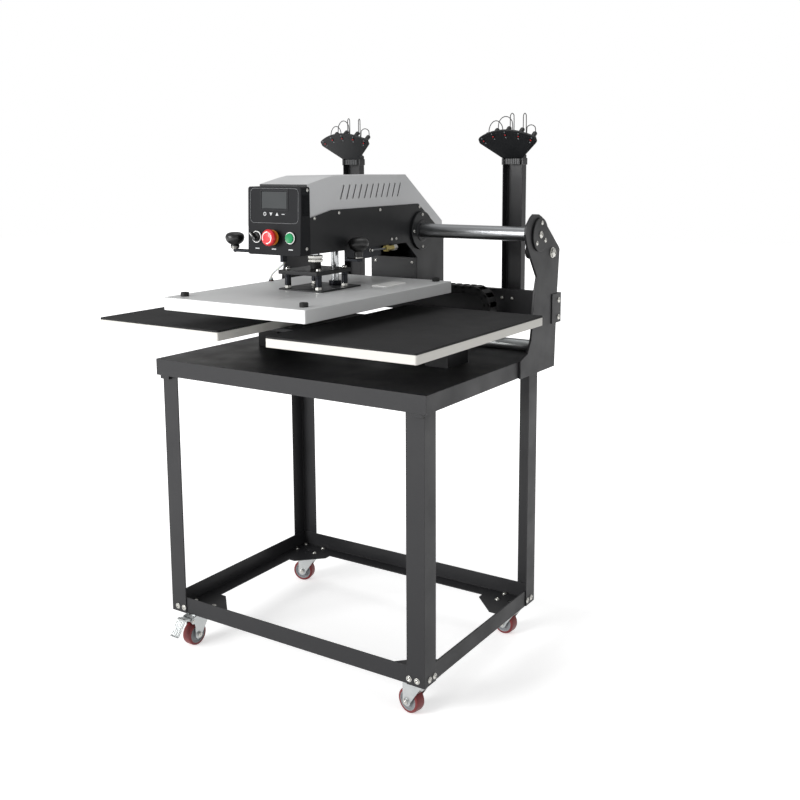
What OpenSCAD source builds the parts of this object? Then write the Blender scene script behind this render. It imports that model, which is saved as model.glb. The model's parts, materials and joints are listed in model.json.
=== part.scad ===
// Dual station heat press on a wheeled stand, millimetres, Z up.
// The origin is on the floor under the middle of the whole machine.
// Heights are from the floor, and depths are from the front edge of the table top.

/* [Stand] */
// Width of the table top
table_w = 829; // [780:1:880]
// Depth of the table top
table_d = 601; // [580:1:640]
// Height of the table top above the floor
table_z = 794; // [700:1:850]
// Height of the table top's folded lip
table_lip = 43; // [30:1:55]
// Thickness of the table top's sheet
sheet_t = 2; // [1:0.5:4]
// Distance from the edge of the table top to the outside of a leg
leg_inset = 11.7; // [8:0.1:20]
// Width of each face of a leg angle
leg_w = 50; // [40:1:60]
// Thickness of the leg and rail angles
angle_t = 3; // [2:0.5:5]
// Height of the upright face of a rail
rail_h = 44; // [35:1:60]
// Width of the flat face of a rail
rail_flange = 45; // [35:1:55]
// Length of the edges of a corner plate
gusset_w = 130; // [115:1:160]

/* [Casters] */
// Height of a caster, from the floor to the frame
caster_h = 98; // [96:1:115]
// Diameter of a caster wheel
wheel_d = 63; // [55:1:66]
// Width of a caster wheel
wheel_w = 27; // [20:1:32]
// Distance from the swivel axis of a caster to its wheel axle
caster_trail = 20; // [15:1:24]
// Distance from the outside of the frame to a swivel axis, sideways
caster_side_inset = 50; // [49:1:60]
// Distance from the front of the frame to a swivel axis
caster_front_inset = 48.3; // [40:0.1:60]
// Distance from the back of the frame to a swivel axis
caster_rear_inset = 36; // [35:1:60]
// Direction of the front left caster's trail, in degrees
turn_fl = -92; // [-180:1:180]
// Direction of the front right caster's trail, in degrees
turn_fr = 169; // [-180:1:180]
// Direction of the rear right caster's trail, in degrees
turn_rr = 175; // [-180:1:180]
// Direction of the rear left caster's trail, in degrees
turn_rl = 195; // [-180:1:220]

/* [Stations] */
// From each side of the table in to the middle of its platen, in mm
station_in = 142.9; // [134.5:0.1:149.5]
// Width of a lower platen
platen_w = 400; // [380:1:420]
// Depth of a lower platen
platen_d = 600; // [560:1:620]
// Thickness of a lower platen
platen_t = 20.4; // [12:0.1:25]
// Thickness of the silicone pad
pad_t = 5; // [3:0.5:10]
// Depth from the table's front edge to the middle of the platens
platen_y = 169.8; // [160:0.1:180]
// Height of a pedestal
pedestal_h = 86.2; // [70:0.1:100]
// Width of a pedestal
pedestal_w = 68; // [50:1:90]
// Depth of a pedestal
pedestal_d = 100; // [60:1:120]
// Depth from the table's front edge to the middle of the pedestals
pedestal_y = 332; // [300:1:345]
// Thickness of the base plate that ties the stations
base_plate_t = 10; // [6:1:14]

/* [Rear frame] */
// Thickness of a side plate
side_t = 6; // [4:0.5:10]
// Diameter of the slide rod
rod_d = 38; // [30:1:42]
// Depth of the slide rod's axis
rod_y = 550; // [548:1:556]
// Height of the slide rod's axis above the pads
rod_up = 196.4; // [194:0.1:199]
// Height of the rear beam
beam_h = 80; // [60:1:82]
// Depth of the rear beam
beam_d = 20; // [16:1:40]
// Height of the laser posts above the foot of the beam
post_h = 440; // [300:1:500]
// Width of a laser post
post_w = 60; // [50:1:70]
// Depth of a laser post
post_d = 26; // [22:1:40]

/* [Press head] */
// Where the head stands along the rod, from the middle
head_x = -15; // [-100:0.1:100]
// Width of the head over its side plates
head_w = 152; // [146:1:156]
// Length of the head from front to back
head_len = 625; // [622:1:640]
// Height of the head's side plates
head_h = 231; // [228:1:235]
// Thickness of the head's plates
head_t = 3.5; // [2:0.5:5]
// Thickness of the head cover's sheet
cover_t = 1.5; // [1:0.5:3]
// Width of the control box
box_w = 160; // [154:1:170]
// Height of the control box
box_h = 161; // [155:1:165]

/* [Upper platen] */
// Width of the upper platen's housing
housing_w = 426.8; // [424:0.1:440]
// Depth of the upper platen's housing
housing_d = 628; // [624:1:640]
// Height of the upper platen's housing
housing_h = 30.7; // [28:0.1:31]
// Open gap between the upper platen and the pad
press_gap = 36.9; // [30:0.1:40]

/* [Hidden] */
$fn = 48;
over = 1;
fit_gap = 0.3;

// Main places, worked out from the sizes above
leg_x = table_w / 2 - leg_inset;
leg_front = leg_inset;
leg_back = table_d - leg_inset;
foot_z = caster_h;
under_z = table_z - sheet_t;
base_z = table_z + pedestal_h;
platen_z = base_z + base_plate_t;
pad_z = platen_z + platen_t;
press_z = pad_z + pad_t;
hot_z = press_z + press_gap;
rod_z = press_z + rod_up;
side_x = table_w / 2;
station_x = table_w / 2 - station_in;
side_out = side_x + side_t;

// Station supports
pedestal_wall = 3;
base_reach = 58;
base_front = 75;
base_back = 230;
platen_round = 4;

// Side plate outline, as shares of its depth and height
side_y = 450;
side_d = 229;
side_h = 417;
side_foot_share = 0.8705;
side_foot_drop = side_foot_share * side_h;
side_z = rod_z - side_foot_drop;
side_shares = [
    [0.293, 1], [0.424, 0.996], [0.507, 0.978], [0.974, 0.777], [1, 0.760], [0.948, 0.477],
    [0.902, 0], [0.009, 0], [0, 0.110], [0.087, 0.127], [0.179, 0.141], [0.218, 0.177],
    [0.266, 0.218], [0.293, 0.288], [0.314, 0.405], [0.341, 0.513], [0.397, 0.609],
    [0.201, 0.758], [0.146, 0.803], [0.109, 0.854], [0.092, 0.882], [0.114, 0.930], [0.223, 0.981]
];

// Rear beam, brackets, posts
beam_y = 667;
beam_top_drop = 164;
beam_z = rod_z - beam_top_drop - beam_h;
beam_wall = 3;
beam_back = beam_y + beam_d;
bracket_front = 36;
bracket_t = 3;
post_wall = 2.5;
post_x = station_x;
post_top = beam_z + post_h;
collar_h = 18;
collar_side = 3;
back_y = beam_back + post_d;

// Laser fans on the posts: sheets that lean forward over the stations
fan_lean = 36;
fan_r = 160;
fan_top = 90;
fan_foot_w = 62;
fan_w = 172;
fan_flare = 50;
fan_wall = 2.5;
fan_rim = 6;
fan_round = 7;
fan_facets = 96;
fan_centre = fan_top - fan_r;
neck_up = 30;
neck_back = 8;
laser_d = 13;
laser_len = 32;
laser_ring = 14;
laser_angles = [-29, -15, 0, 15, 29];
barrel_d = 7.4;
barrel_out = 2;
clamp_w = 16;
clamp_h = 14;
clamp_d = 12;
wire_d = 2.4;
leg_d = wire_d + fit_gap;
wire_rises = [2, 6, 24, 28, 8];
wire_end_sides = [-16, 14, 20, 54, 52];
wire_end_ups = [50, 52, 60, 52, 40];

// Rod, flanges and stops
flange_d = 88;
flange_t = 5;
stop_y = 631.6;
stop_drop = 52.3;
stop_z = rod_z - stop_drop;
stop_stem_d = 16;
bumper_d = 40;
bumper_l = 25;
bumper_gap = 0.5;
bumper_x = station_x + head_w / 2 + bumper_gap;
tie_d = 32;
tie_y = 596;

// Cable chain
chain_y = 580;
chain_w = 45;
chain_t = 22;
chain_r = 57;
chain_turn_x = 205;
chain_drop = 207;
chain_turn_z = rod_z - chain_drop;
chain_fixed_x = -60;
chain_end_gap = 4;
chain_pitch = 23;
chain_groove = 2;
chain_groove_deep = 3;
chain_end_x = head_x + head_w / 2 + chain_end_gap;
chain_in_r = chain_r - chain_t;
tray_t = 3;
tray_front = 2;
tray_left = 40;
tray_right = 90;

// Head outline, as shares of its length and height
head_y = 50;
head_foot_drop = 157;
head_z = rod_z - head_foot_drop;
head_back = head_y + head_len;
arm_share = 0.554;
arm_rear_share = 0.677;
column_share = 0.770;
head_shares = [
    [0, 0.554], [0, 0.922], [0.147, 0.996], [0.781, 1], [0.925, 0.740], [1, 0.619],
    [1, 0], [0.770, 0], [0.770, 0.359], [0.677, 0.554]
];
column_top_share = 0.359;
column_back_share = 0.60;
arm_z = head_z + arm_share * head_h;
arm_t = 6;
arm_front_gap = 4;
column_y = head_y + column_share * head_len;
inner_w = head_w - 2 * head_t;

// Cover outline, as shares of its length and height
cover_foot_drop = 27;
cover_z = rod_z - cover_foot_drop;
cover_h = 182;
cover_len = 621;
cover_shares = [
    [0, 0.412], [0, 0.896], [0.117, 0.975], [0.167, 1], [0.689, 0.995], [1, 0.264],
    [1, 0], [0.927, 0.137], [0.778, 0.478], [0.762, 0.412]
];
cover_w = inner_w - 2 * fit_gap;
slot_n = 11;
slot_y = 181;
slot_pitch = 25.6;
slot_up = 125;
slot_h = 38;
slot_w = 4;
slot_lean = 16;

// Bearings and shoes
bearing_flange_d = 106;
bearing_flange_t = 6;
bearing_d = 56;
bearing_len = 58;
shoe_w = 40;
shoe_x = 45;
shoe_d = 20;
shoe_h = 23;
shoe_plate_t = 5;

// Air cylinder and valve
ram_y = 172;
ram_d = 80;
ram_h = 56;
ram_wall = 4;
ram_cap = 3;
valve_size = [38, 62, 34];
valve_y = 330;

// Control box
box_foot_drop = 30;
box_z = rod_z - box_foot_drop;
box_back = head_y;
box_front = 11;
box_lean = 6;
box_r = 6;
box_wall = 2.5;
panel_tilt = atan2(box_lean, box_h);
louvre_n = 6;
louvre_w = 2;
louvre_y = 21;
louvre_pitch = 4.4;
louvre_up = 93;
louvre_h = 50;
screen_w = 76;
screen_h = 40.5;
screen_up = 129.7;
screen_z = box_z + screen_up;
screen_t = 1.5;
screen_sink = 1.2;
button_up = 42;
button_pitch = 51;
bezel_d = 30;
bezel_t = 4;
bezel_bore = 22.6;
button_d = 22;
button_in = 14;
selector_proud = 5;
lever_w = 7;
lever_len = 25;
lever_t = 10;
lever_angle = 45;
estop_d = 40;
estop_head = 12;
estop_edge = 3;
estop_proud = 30;
estop_neck = 22;
start_proud = 8;
board_w = 120;
board_h = 130;
board_t = 2;
board_y = box_back - box_wall - fit_gap - board_t;
chip_shares = [[-0.3, 0.3, 0.25], [0.2, 0.25, 0.3], [0, -0.25, 0.4]];
chip_t = 8;

// Handles
left_knob = [-139, 30];
left_bar_up = 5;
left_bar_z = box_z + left_bar_up;
bar_d = 8;
eye_d = 10;
stud_d = 8;
knob_d = 47;
knob_h = 30;
right_knob_h = 33;
neck_d = 22;
left_neck_h = 9.5;
right_knob = [106, 209];
right_knob_d = 51;
right_bar_drop = 56;
right_bar_z = rod_z - right_bar_drop;
flat_t = 6;
flat_w = 22;
web_front = right_knob[1] - flat_w / 2;
web_slope = 300;
web_back = 352;
web_rise = 5;
clip_t = 8;
clip_y = 135;
clip_d = 17;
clip_h = 32;
clip_lap = 14;
right_neck_h = 20;
stud_h = 28;
knob_shares = [[0.43, 0], [0.72, 0.14], [0.93, 0.36], [1, 0.55], [0.93, 0.76], [0.70, 0.92], [0.38, 0.99]];
left_foot = left_bar_z + eye_d / 2 + fit_gap;
right_foot = right_bar_z + flat_t + fit_gap;

// Air fitting
fitting_y = 366;
fitting_len = 52;
fitting_d = 13;
fitting_drop = 37;
fitting_z = rod_z - fitting_drop;
fitting_nut_d = 16;
fitting_nut_l = 14;
inlet_bore = 8.6;
inlet_deep = 12;
tube_d = 5;
tube_front = 304;
elbow_d = 9;

// Press carriage
rod_piston_d = 20;
coupling_d = 27;
coupling_h = 16;
lock_nut_d = 35;
lock_nut_h = 18;
piston_h = 10;
guide_y = 252;
guide_d = 20;
guide_up = 28;
guide_boss_d = 34;
guide_boss_h = 30;
top_plate_w = 120;
top_plate_front = 97;
top_plate_d = 143;
top_plate_t = 10;
low_plate_w = 137;
low_plate_front = 108;
low_plate_d = 162;
low_plate_t = 3.8;
plate_gap = 37;
sleeve_inset = 12;
sleeve_d = 14;
sleeve_nut_d = 17;
sleeve_nut_h = 7;
stud_head_d = 13;
stud_head_h = 6;

// Upper platen
lip_drop = 2;
housing_wall = 2;
heater_side = 13.4;
heater_end = 14;
heater_t = 14;
cap_d = 20;
cap_h = 10;
cap_inset_x = 33.4;
cap_inset_y = 38;
cap_rear_inset_y = 26;
housing_top = hot_z + lip_drop + housing_h;
low_plate_z = housing_top + low_plate_t;
top_plate_z = low_plate_z + plate_gap;
top_plate_up = top_plate_z + top_plate_t;

// Heater cable
cable_d = 5.5;
cable_facets = 12;
// Each place is across, deep, and a share of the height from the platen to the arm
cable_shares = [
    [-80, 146, 0.652], [-86, 148.5, 0.612], [-100, 158, 0.55], [-128, 178, 0.434], [-160, 203, 0.313],
    [-189, 225, 0.173], [-203, 238, 0.045], [-207, 243.5, 0]
];
cable_foot = housing_top + cable_d / 2 + fit_gap;
cable_rise = arm_z - cable_d / 2 - cable_foot;
cable_points = [for (s = cable_shares) [s[0], s[1], cable_foot + s[2] * cable_rise]];

// Screws
bolt_head_d = 12;
bolt_head_h = 4;
socket_deep = 2;
screw_crown_share = 0.8;
small_head_d = 6.5;
small_head_h = 2.5;
big_head_d = 22;
big_head_h = 9;
rod_head_d = 15;
flange_head_d = 9.5;
flange_head_h = 3;
flange_screw_r = 31;
flange_screw_angles = [79, 221, 329];
bracket_screw_y = 4;
bracket_screw_up = [14.5, 61];
post_screw_up = 56;
post_screw_side = [-17.6, 13.4];
bearing_screw_r = 44;
bearing_screw_angles = [0, 90, 180, 270];
plate_screw_y = [72, 170, 350, 543];
plate_screw_down = 9;
low_screw_y = [404, 425.5];
low_screw_up = 14;
column_screw_x = 61;
column_screw_down = 14;
box_screw_y = [41, 35];
box_screw_up = [153, 16];
leg_bolt_places = [21, 43];
leg_bolt_up = 15;
bracket_up = 50;
bracket_w = 30;
plate_bolt_x = 34;
plate_bolt_y = 22;

// Caster sizes
caster_plate_w = 90;
caster_plate_d = 64;
caster_plate_t = 3;
cup_d = 44;
crown_d = 54;
crown_t = 6;
crown_room = 17;
king_d = 10;
fork_t = 3;
fork_room = 2;
axle_d = 8;
boss_d = 24;
nut_d = 14;
nut_t = 4;
fork_shares = [[0.03, 1], [0.95, 1], [1, 0.82], [1, 0.18], [0.586, 0.18], [0.03, 0.88]];
web_shares = [[0.03, 1], [0.03, 0.88], [0.30, 0.57], [0.34, 0.60], [0.12, 0.93], [0.12, 1]];
ear_shares = [[0.90, 1], [1.17, 0.95], [1.21, 0.82], [1.17, 0.72], [1, 0.68]];
tread_t = 7;
hub_recess = 3;
hub_in_d = 22;
pedal_pin_share = [1.12, 0.84];
pedal_w = 28;
pedal_pin_d = 6;
pedal_shares = [
    [1.05, 0.80], [1.07, 0.91], [1.50, 1.02], [1.58, 1.0], [2.03, 0.43], [1.98, 0.39],
    [1.52, 0.94], [1.20, 0.84], [1.17, 0.78]
];
axle_z = wheel_d / 2;
crown_z = caster_h - crown_room;
crown_top = crown_z + crown_t;
fork_back = crown_d / 2;
fork_len = fork_back + caster_trail + boss_d / 2;
fork_low = axle_z - boss_d / 2;
fork_h = crown_top - fork_low;
fork_in = wheel_w / 2 + fork_room;
pedal_pin = [pedal_pin_share[0] * fork_len - fork_back, fork_low + pedal_pin_share[1] * fork_h];
swivel_x = leg_x - caster_side_inset;
swivel_front = leg_front + caster_front_inset;
swivel_rear = leg_back - caster_rear_inset;
swivel_places = [
    [-swivel_x, swivel_front], [swivel_x, swivel_front], [swivel_x, swivel_rear], [-swivel_x, swivel_rear]
];
plate_hole_x = caster_side_inset - 2 * angle_t;
plate_hole_y = caster_front_inset - 2 * angle_t;

// Middle of the whole machine from front to back
front_y = platen_y - housing_d / 2;
middle_y = (front_y + back_y) / 2;

// Helpers
module at_row() { translate([0, -middle_y, 0]) children(); }
module at_head() { at_row() translate([head_x, 0, 0]) children(); }
module both_sides() {
    children();
    mirror([1, 0, 0]) children();
}
module front_and_back() {
    children();
    translate([0, table_d, 0]) mirror([0, 1, 0]) children();
}
module block(low, high) { translate(low) cube(high - low); }
module bar_x(d, x0, x1, y, z) { translate([x0, y, z]) rotate([0, 90, 0]) cylinder(d = d, h = x1 - x0); }
module bar_y(d, y0, y1, x, z) { translate([x, y0, z]) rotate([-90, 0, 0]) cylinder(d = d, h = y1 - y0); }
module bar_z(d, z0, z1, x, y) { translate([x, y, z0]) cylinder(d = d, h = z1 - z0); }
// Extrudes an outline of depths and heights sideways
module slab_x(points, x0, w) { translate([x0, 0, 0]) rotate([90, 0, 90]) linear_extrude(w) polygon(points); }
function spread(shares, corner, size) = [
    for (s = shares) [corner[0] + s[0] * size[0], corner[1] + s[1] * size[1]]
];
module round_slab(low, high, r) {
    block([low[0] + r, low[1], low[2]], [high[0] - r, high[1], high[2]]);
    block([low[0], low[1] + r, low[2]], [high[0], high[1] - r, high[2]]);
    for (x = [low[0] + r, high[0] - r], y = [low[1] + r, high[1] - r]) {
        bar_z(2 * r, low[2], high[2], x, y);
    }
}
// A button head screw that stands on a face, pointing up
module screw(d, h) {
    difference() {
        cylinder(d1 = d, d2 = screw_crown_share * d, h = h);
        translate([0, 0, h - min(socket_deep, h / 2)]) cylinder(d = d / 2, h = h);
    }
}
module screw_x(d, h, x, y, z, turn) { translate([x, y, z]) rotate([0, turn * 90, 0]) screw(d, h); }
module screw_front(d, h, x, y, z) { translate([x, y, z]) rotate([90, 0, 0]) screw(d, h); }
module screw_back(d, h, x, y, z) { translate([x, y, z]) rotate([-90, 0, 0]) screw(d, h); }

// Stand
module table_top() {
    color("#3c3d40") at_row() difference() {
        block([-table_w / 2, 0, table_z - table_lip], [table_w / 2, table_d, table_z]);
        block(
            [sheet_t - table_w / 2, sheet_t, table_z - table_lip - over],
            [table_w / 2 - sheet_t, table_d - sheet_t, under_z]
        );
    }
}
module leg_angle() {
    translate([leg_x, leg_front, foot_z]) {
        block([-leg_w, 0, 0], [0, angle_t, under_z - foot_z]);
        block([-angle_t, 0, 0], [0, leg_w, under_z - foot_z]);
    }
}
module legs() {
    color("#3a3b3e") at_row() both_sides() front_and_back() leg_angle();
}
module cross_rail() {
    side = leg_x - angle_t;
    face = leg_front + angle_t;
    block([-side, face, foot_z], [side, face + angle_t, foot_z + rail_h]);
    run = side - angle_t - gusset_w;
    block([-run, face, foot_z], [run, face + rail_flange, foot_z + angle_t]);
}
module side_rail() {
    face = leg_x - angle_t;
    front = leg_front + 2 * angle_t + fit_gap;
    back = leg_back - 2 * angle_t - fit_gap;
    block([face - angle_t, front, foot_z], [face, back, foot_z + rail_h]);
    block([face - rail_flange, front + gusset_w, foot_z], [face, back - gusset_w, foot_z + angle_t]);
}
module rails() {
    color("#3a3b3e") at_row() {
        front_and_back() cross_rail();
        both_sides() side_rail();
    }
}
module corner_plate() {
    nose_share = 0.48;
    nose = nose_share * gusset_w;
    corner = leg_x - 2 * angle_t;
    front = leg_front + 2 * angle_t;
    translate([corner, front, foot_z]) linear_extrude(angle_t) difference() {
        polygon([[0, 0], [0, gusset_w], [-nose, gusset_w], [-gusset_w, nose], [-gusset_w, 0]]);
        translate([-plate_hole_x, plate_hole_y]) circle(d = king_d + 2 * over);
    }
}
module leg_bracket() {
    block([leg_x - bracket_w, sheet_t, under_z - bracket_up], [leg_x, leg_front, under_z]);
}
module corner_plates() {
    color("#333437") at_row() both_sides() {
        front_and_back() corner_plate();
        front_and_back() leg_bracket();
    }
}
module stand_bolts() {
    z = foot_z + leg_bolt_up;
    color("#c9cacc") at_row() both_sides() for (place = leg_bolt_places) {
        screw_front(bolt_head_d, bolt_head_h, leg_x - place, leg_front, z);
        screw_back(bolt_head_d, bolt_head_h, leg_x - place, leg_back, z);
        screw_x(bolt_head_d, bolt_head_h, leg_x, leg_front + place, z, 1);
        screw_x(bolt_head_d, bolt_head_h, leg_x, leg_back - place, z, 1);
    }
    color("#c9cacc") at_row() for (place = swivel_places, dx = [-plate_bolt_x, plate_bolt_x]) {
        for (dy = [-plate_bolt_y, plate_bolt_y]) {
            translate([place[0] + dx, place[1] + dy, foot_z + angle_t]) screw(bolt_head_d, bolt_head_h);
        }
    }
}
module caster_plates() {
    half = [caster_plate_w / 2, caster_plate_d / 2];
    low = caster_h - caster_plate_t;
    color("#bfc3c4") at_row() for (place = swivel_places) translate([place[0], place[1], 0]) difference() {
        union() {
            block([-half[0], -half[1], low], [half[0], half[1], caster_h]);
            bar_z(cup_d, crown_top + fit_gap, low, 0, 0);
        }
        bar_z(king_d + 2 * fit_gap, crown_z, caster_h + over, 0, 0);
    }
}
module at_caster(i, turn) {
    at_row() translate([swivel_places[i][0], swivel_places[i][1], 0]) rotate([0, 0, turn]) children();
}
module fork_side(shares, y0, y1) {
    points = spread(shares, [-fork_back, fork_low], [fork_len, fork_h]);
    translate([0, y1, 0]) rotate([90, 0, 0]) linear_extrude(y1 - y0) polygon(points);
}
module caster_fork(i, turn, brake) {
    out = fork_in + fork_t;
    color("#b9bdbd") at_caster(i, turn) difference() {
        union() {
            bar_z(crown_d, crown_z, crown_top, 0, 0);
            bar_z(king_d, crown_z, caster_h - caster_plate_t, 0, 0);
            fork_side(web_shares, -out, out);
            for (side = [-out, fork_in]) {
                fork_side(fork_shares, side, side + fork_t);
                bar_y(boss_d, side, side + fork_t, caster_trail, axle_z);
                if (brake) fork_side(ear_shares, side, side + fork_t);
            }
            bar_y(axle_d, -out, out, caster_trail, axle_z);
            bar_y(nut_d, -out - nut_t, -out, caster_trail, axle_z);
            bar_y(nut_d, out, out + nut_t, caster_trail, axle_z);
        }
        if (brake) pedal_pin_hole(out);
    }
}
module pedal_pin_hole(out) {
    bar_y(pedal_pin_d + 2 * fit_gap, -out - over, out + over, pedal_pin[0], pedal_pin[1]);
}
module caster_fork_fl() { caster_fork(0, turn_fl, true); }
module caster_fork_fr() { caster_fork(1, turn_fr, false); }
module caster_fork_rr() { caster_fork(2, turn_rr, false); }
module caster_fork_rl() { caster_fork(3, turn_rl, false); }
module caster_wheel(i, turn) {
    half = wheel_w / 2;
    bore = axle_d / 2 + fit_gap;
    rim = wheel_d / 2 - tread_t;
    shoulder_share = 0.93;
    crown_share = 0.6;
    color("#6b2b2c") at_caster(i, turn) translate([caster_trail, 0, axle_z]) rotate([90, 0, 0])
        rotate_extrude() polygon([
            [bore, -half], [hub_in_d / 2, -half], [hub_in_d / 2, hub_recess - half],
            [rim, hub_recess - half], [rim, -half], [shoulder_share * axle_z, -half],
            [axle_z, -crown_share * half], [axle_z, crown_share * half],
            [shoulder_share * axle_z, half], [rim, half], [rim, half - hub_recess],
            [hub_in_d / 2, half - hub_recess], [hub_in_d / 2, half], [bore, half]
        ]);
}
module caster_wheel_fl() { caster_wheel(0, turn_fl); }
module caster_wheel_fr() { caster_wheel(1, turn_fr); }
module caster_wheel_rr() { caster_wheel(2, turn_rr); }
module caster_wheel_rl() { caster_wheel(3, turn_rl); }
module brake_pedal() {
    points = spread(pedal_shares, [-fork_back, fork_low], [fork_len, fork_h]);
    reach = fork_in + fork_t;
    color("#c8cbcb") at_caster(0, turn_fl) {
        translate([0, pedal_w / 2, 0]) rotate([90, 0, 0]) linear_extrude(pedal_w) polygon(points);
        bar_y(pedal_pin_d, -reach, reach, pedal_pin[0], pedal_pin[1]);
    }
}

// Stations
module pedestals() {
    front = pedestal_y - pedestal_d / 2;
    color("#2c2d30") at_row() both_sides() translate([station_x, 0, 0]) difference() {
        block([-pedestal_w / 2, front, table_z], [pedestal_w / 2, front + pedestal_d, base_z]);
        block(
            [pedestal_wall - pedestal_w / 2, front + pedestal_wall, table_z - over],
            [pedestal_w / 2 - pedestal_wall, front + pedestal_d - pedestal_wall, base_z - pedestal_wall]
        );
    }
}
module base_plate() {
    side = station_x + base_reach;
    color("#28292b") at_row()
        block([-side, platen_y - base_front, base_z], [side, platen_y + base_back, platen_z]);
}
module station_slab(z0, z1) {
    half_w = platen_w / 2;
    half_d = platen_d / 2;
    both_sides() round_slab(
        [station_x - half_w, platen_y - half_d, z0],
        [station_x + half_w, platen_y + half_d, z1],
        platen_round
    );
}
module lower_platens() { color("#b9bcc0") at_row() station_slab(platen_z, pad_z); }
module pads() { color("#1e1e1f") at_row() station_slab(pad_z, press_z); }

// Rear frame
module side_plates() {
    points = spread(side_shares, [side_y, side_z], [side_d, side_h]);
    color("#36373a") at_row() both_sides() difference() {
        slab_x(points, side_x, side_t);
        bar_x(rod_d + 2 * fit_gap, side_x - over, side_out + over, rod_y, rod_z);
        bar_x(stop_stem_d + 2 * fit_gap, side_x - over, side_out + over, stop_y, stop_z);
    }
}
module rear_beam() {
    color("#303134") at_row() difference() {
        block([-side_out, beam_y, beam_z], [side_out, beam_back, beam_z + beam_h]);
        block(
            [-side_out - over, beam_y + beam_wall, beam_z + beam_wall],
            [side_out + over, beam_back - beam_wall, beam_z + beam_h - beam_wall]
        );
    }
}
module beam_brackets() {
    color("#1f2022") at_row() both_sides()
        block([side_out, beam_y - bracket_front, beam_z], [side_out + bracket_t, beam_back, beam_z + beam_h]);
}
module tie_bar() {
    color("#9a9c9f") at_row() bar_x(tie_d, -side_x, side_x, tie_y, table_z + tie_d / 2);
}
module slide_rod() {
    color("#d5d8db") at_row() bar_x(rod_d, -side_out, side_out, rod_y, rod_z);
}
module rod_flanges() {
    color("#2a2b2e") at_row() both_sides() bar_x(flange_d, side_out, side_out + flange_t, rod_y, rod_z);
}
module stop_bumpers() {
    color("#1c1c1d") at_row() both_sides() difference() {
        bar_x(bumper_d, bumper_x, bumper_x + bumper_l, stop_y, stop_z);
        bar_x(stop_stem_d + 2 * fit_gap, bumper_x + bumper_l / 2, bumper_x + bumper_l + over, stop_y, stop_z);
    }
}
module frame_screws() {
    face = side_out + flange_t;
    color("#c4c6c8") at_row() both_sides() {
        screw_x(rod_head_d, bolt_head_h, face, rod_y, rod_z, 1);
        for (a = flange_screw_angles) {
            y = rod_y + flange_screw_r * cos(a);
            screw_x(flange_head_d, flange_head_h, face, y, rod_z + flange_screw_r * sin(a), 1);
        }
        bar_x(stop_stem_d, bumper_x + bumper_l / 2 + fit_gap, side_out, stop_y, stop_z);
        screw_x(big_head_d, big_head_h, side_out, stop_y, stop_z, 1);
        for (up = bracket_screw_up) {
            screw_x(bolt_head_d, bolt_head_h, side_out + bracket_t, beam_y + bracket_screw_y, beam_z + up, 1);
        }
        for (dx = post_screw_side) {
            screw_front(small_head_d, small_head_h, post_x + dx, beam_y, beam_z + post_screw_up);
        }
    }
}
module laser_posts() {
    half = post_w / 2;
    color("#3a3b3e") at_row() both_sides() translate([post_x, 0, 0]) difference() {
        union() {
            block([-half, beam_back, beam_z], [half, back_y, post_top]);
            block(
                [-half - collar_side, beam_back, post_top - collar_h],
                [half + collar_side, back_y, post_top]
            );
        }
        block(
            [post_wall - half, beam_back - over, beam_z - over],
            [half - post_wall, back_y - post_wall, post_top + over]
        );
    }
}
// Places on a fan, from the front of its sheet and up along it
function fan_y(out, up) = beam_back + out * cos(fan_lean) - up * sin(fan_lean);
function fan_z(out, up) = post_top + out * sin(fan_lean) + up * cos(fan_lean);
module at_fan() { translate([post_x, beam_back, post_top]) rotate([fan_lean, 0, 0]) children(); }
module at_laser(a) { translate([0, 0, fan_centre]) rotate([0, a, 0]) translate([0, 0, fan_r - laser_ring]) children(); }
module fan_outline(shrink) {
    foot = fan_foot_w / 2 - shrink;
    half = fan_w / 2 - shrink;
    offset(fan_round) offset(delta = -fan_round) intersection() {
        translate([0, fan_centre]) circle(r = fan_r - shrink, $fn = fan_facets);
        polygon([
            [-foot, shrink], [foot, shrink], [half, fan_flare],
            [half, 2 * fan_top], [-half, 2 * fan_top], [-half, fan_flare]
        ]);
    }
    translate([-foot, shrink]) square([2 * foot, fan_round]);
}
module laser_heads() {
    color("#232426") at_row() both_sides() {
        at_fan() difference() {
            rotate([90, 0, 0]) translate([0, 0, -fan_rim]) linear_extrude(fan_rim) fan_outline(0);
            rotate([90, 0, 0]) translate([0, 0, -fan_rim - over])
                linear_extrude(fan_rim - fan_wall + over) fan_outline(fan_wall);
            for (a = laser_angles) at_laser(a) bar_y(barrel_d + 2 * fit_gap, -over, fan_wall + over, 0, 0);
        }
        slab_x(
            [
                [beam_back, post_top], [back_y, post_top], [back_y, post_top + neck_back],
                [fan_y(fan_rim, neck_up), fan_z(fan_rim, neck_up)]
            ],
            post_x - post_w / 2, post_w
        );
    }
}
module laser_modules() {
    color("#141415") at_row() both_sides() at_fan() {
        for (a = laser_angles) at_laser(a) {
            bar_y(barrel_d, -barrel_out, fan_wall + over, 0, 0);
            bar_y(laser_d, fan_wall, fan_wall + laser_len, 0, 0);
            block([-clamp_w / 2, fan_wall, -clamp_h / 2], [clamp_w / 2, fan_wall + clamp_d, clamp_h / 2]);
        }
    }
}
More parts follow.
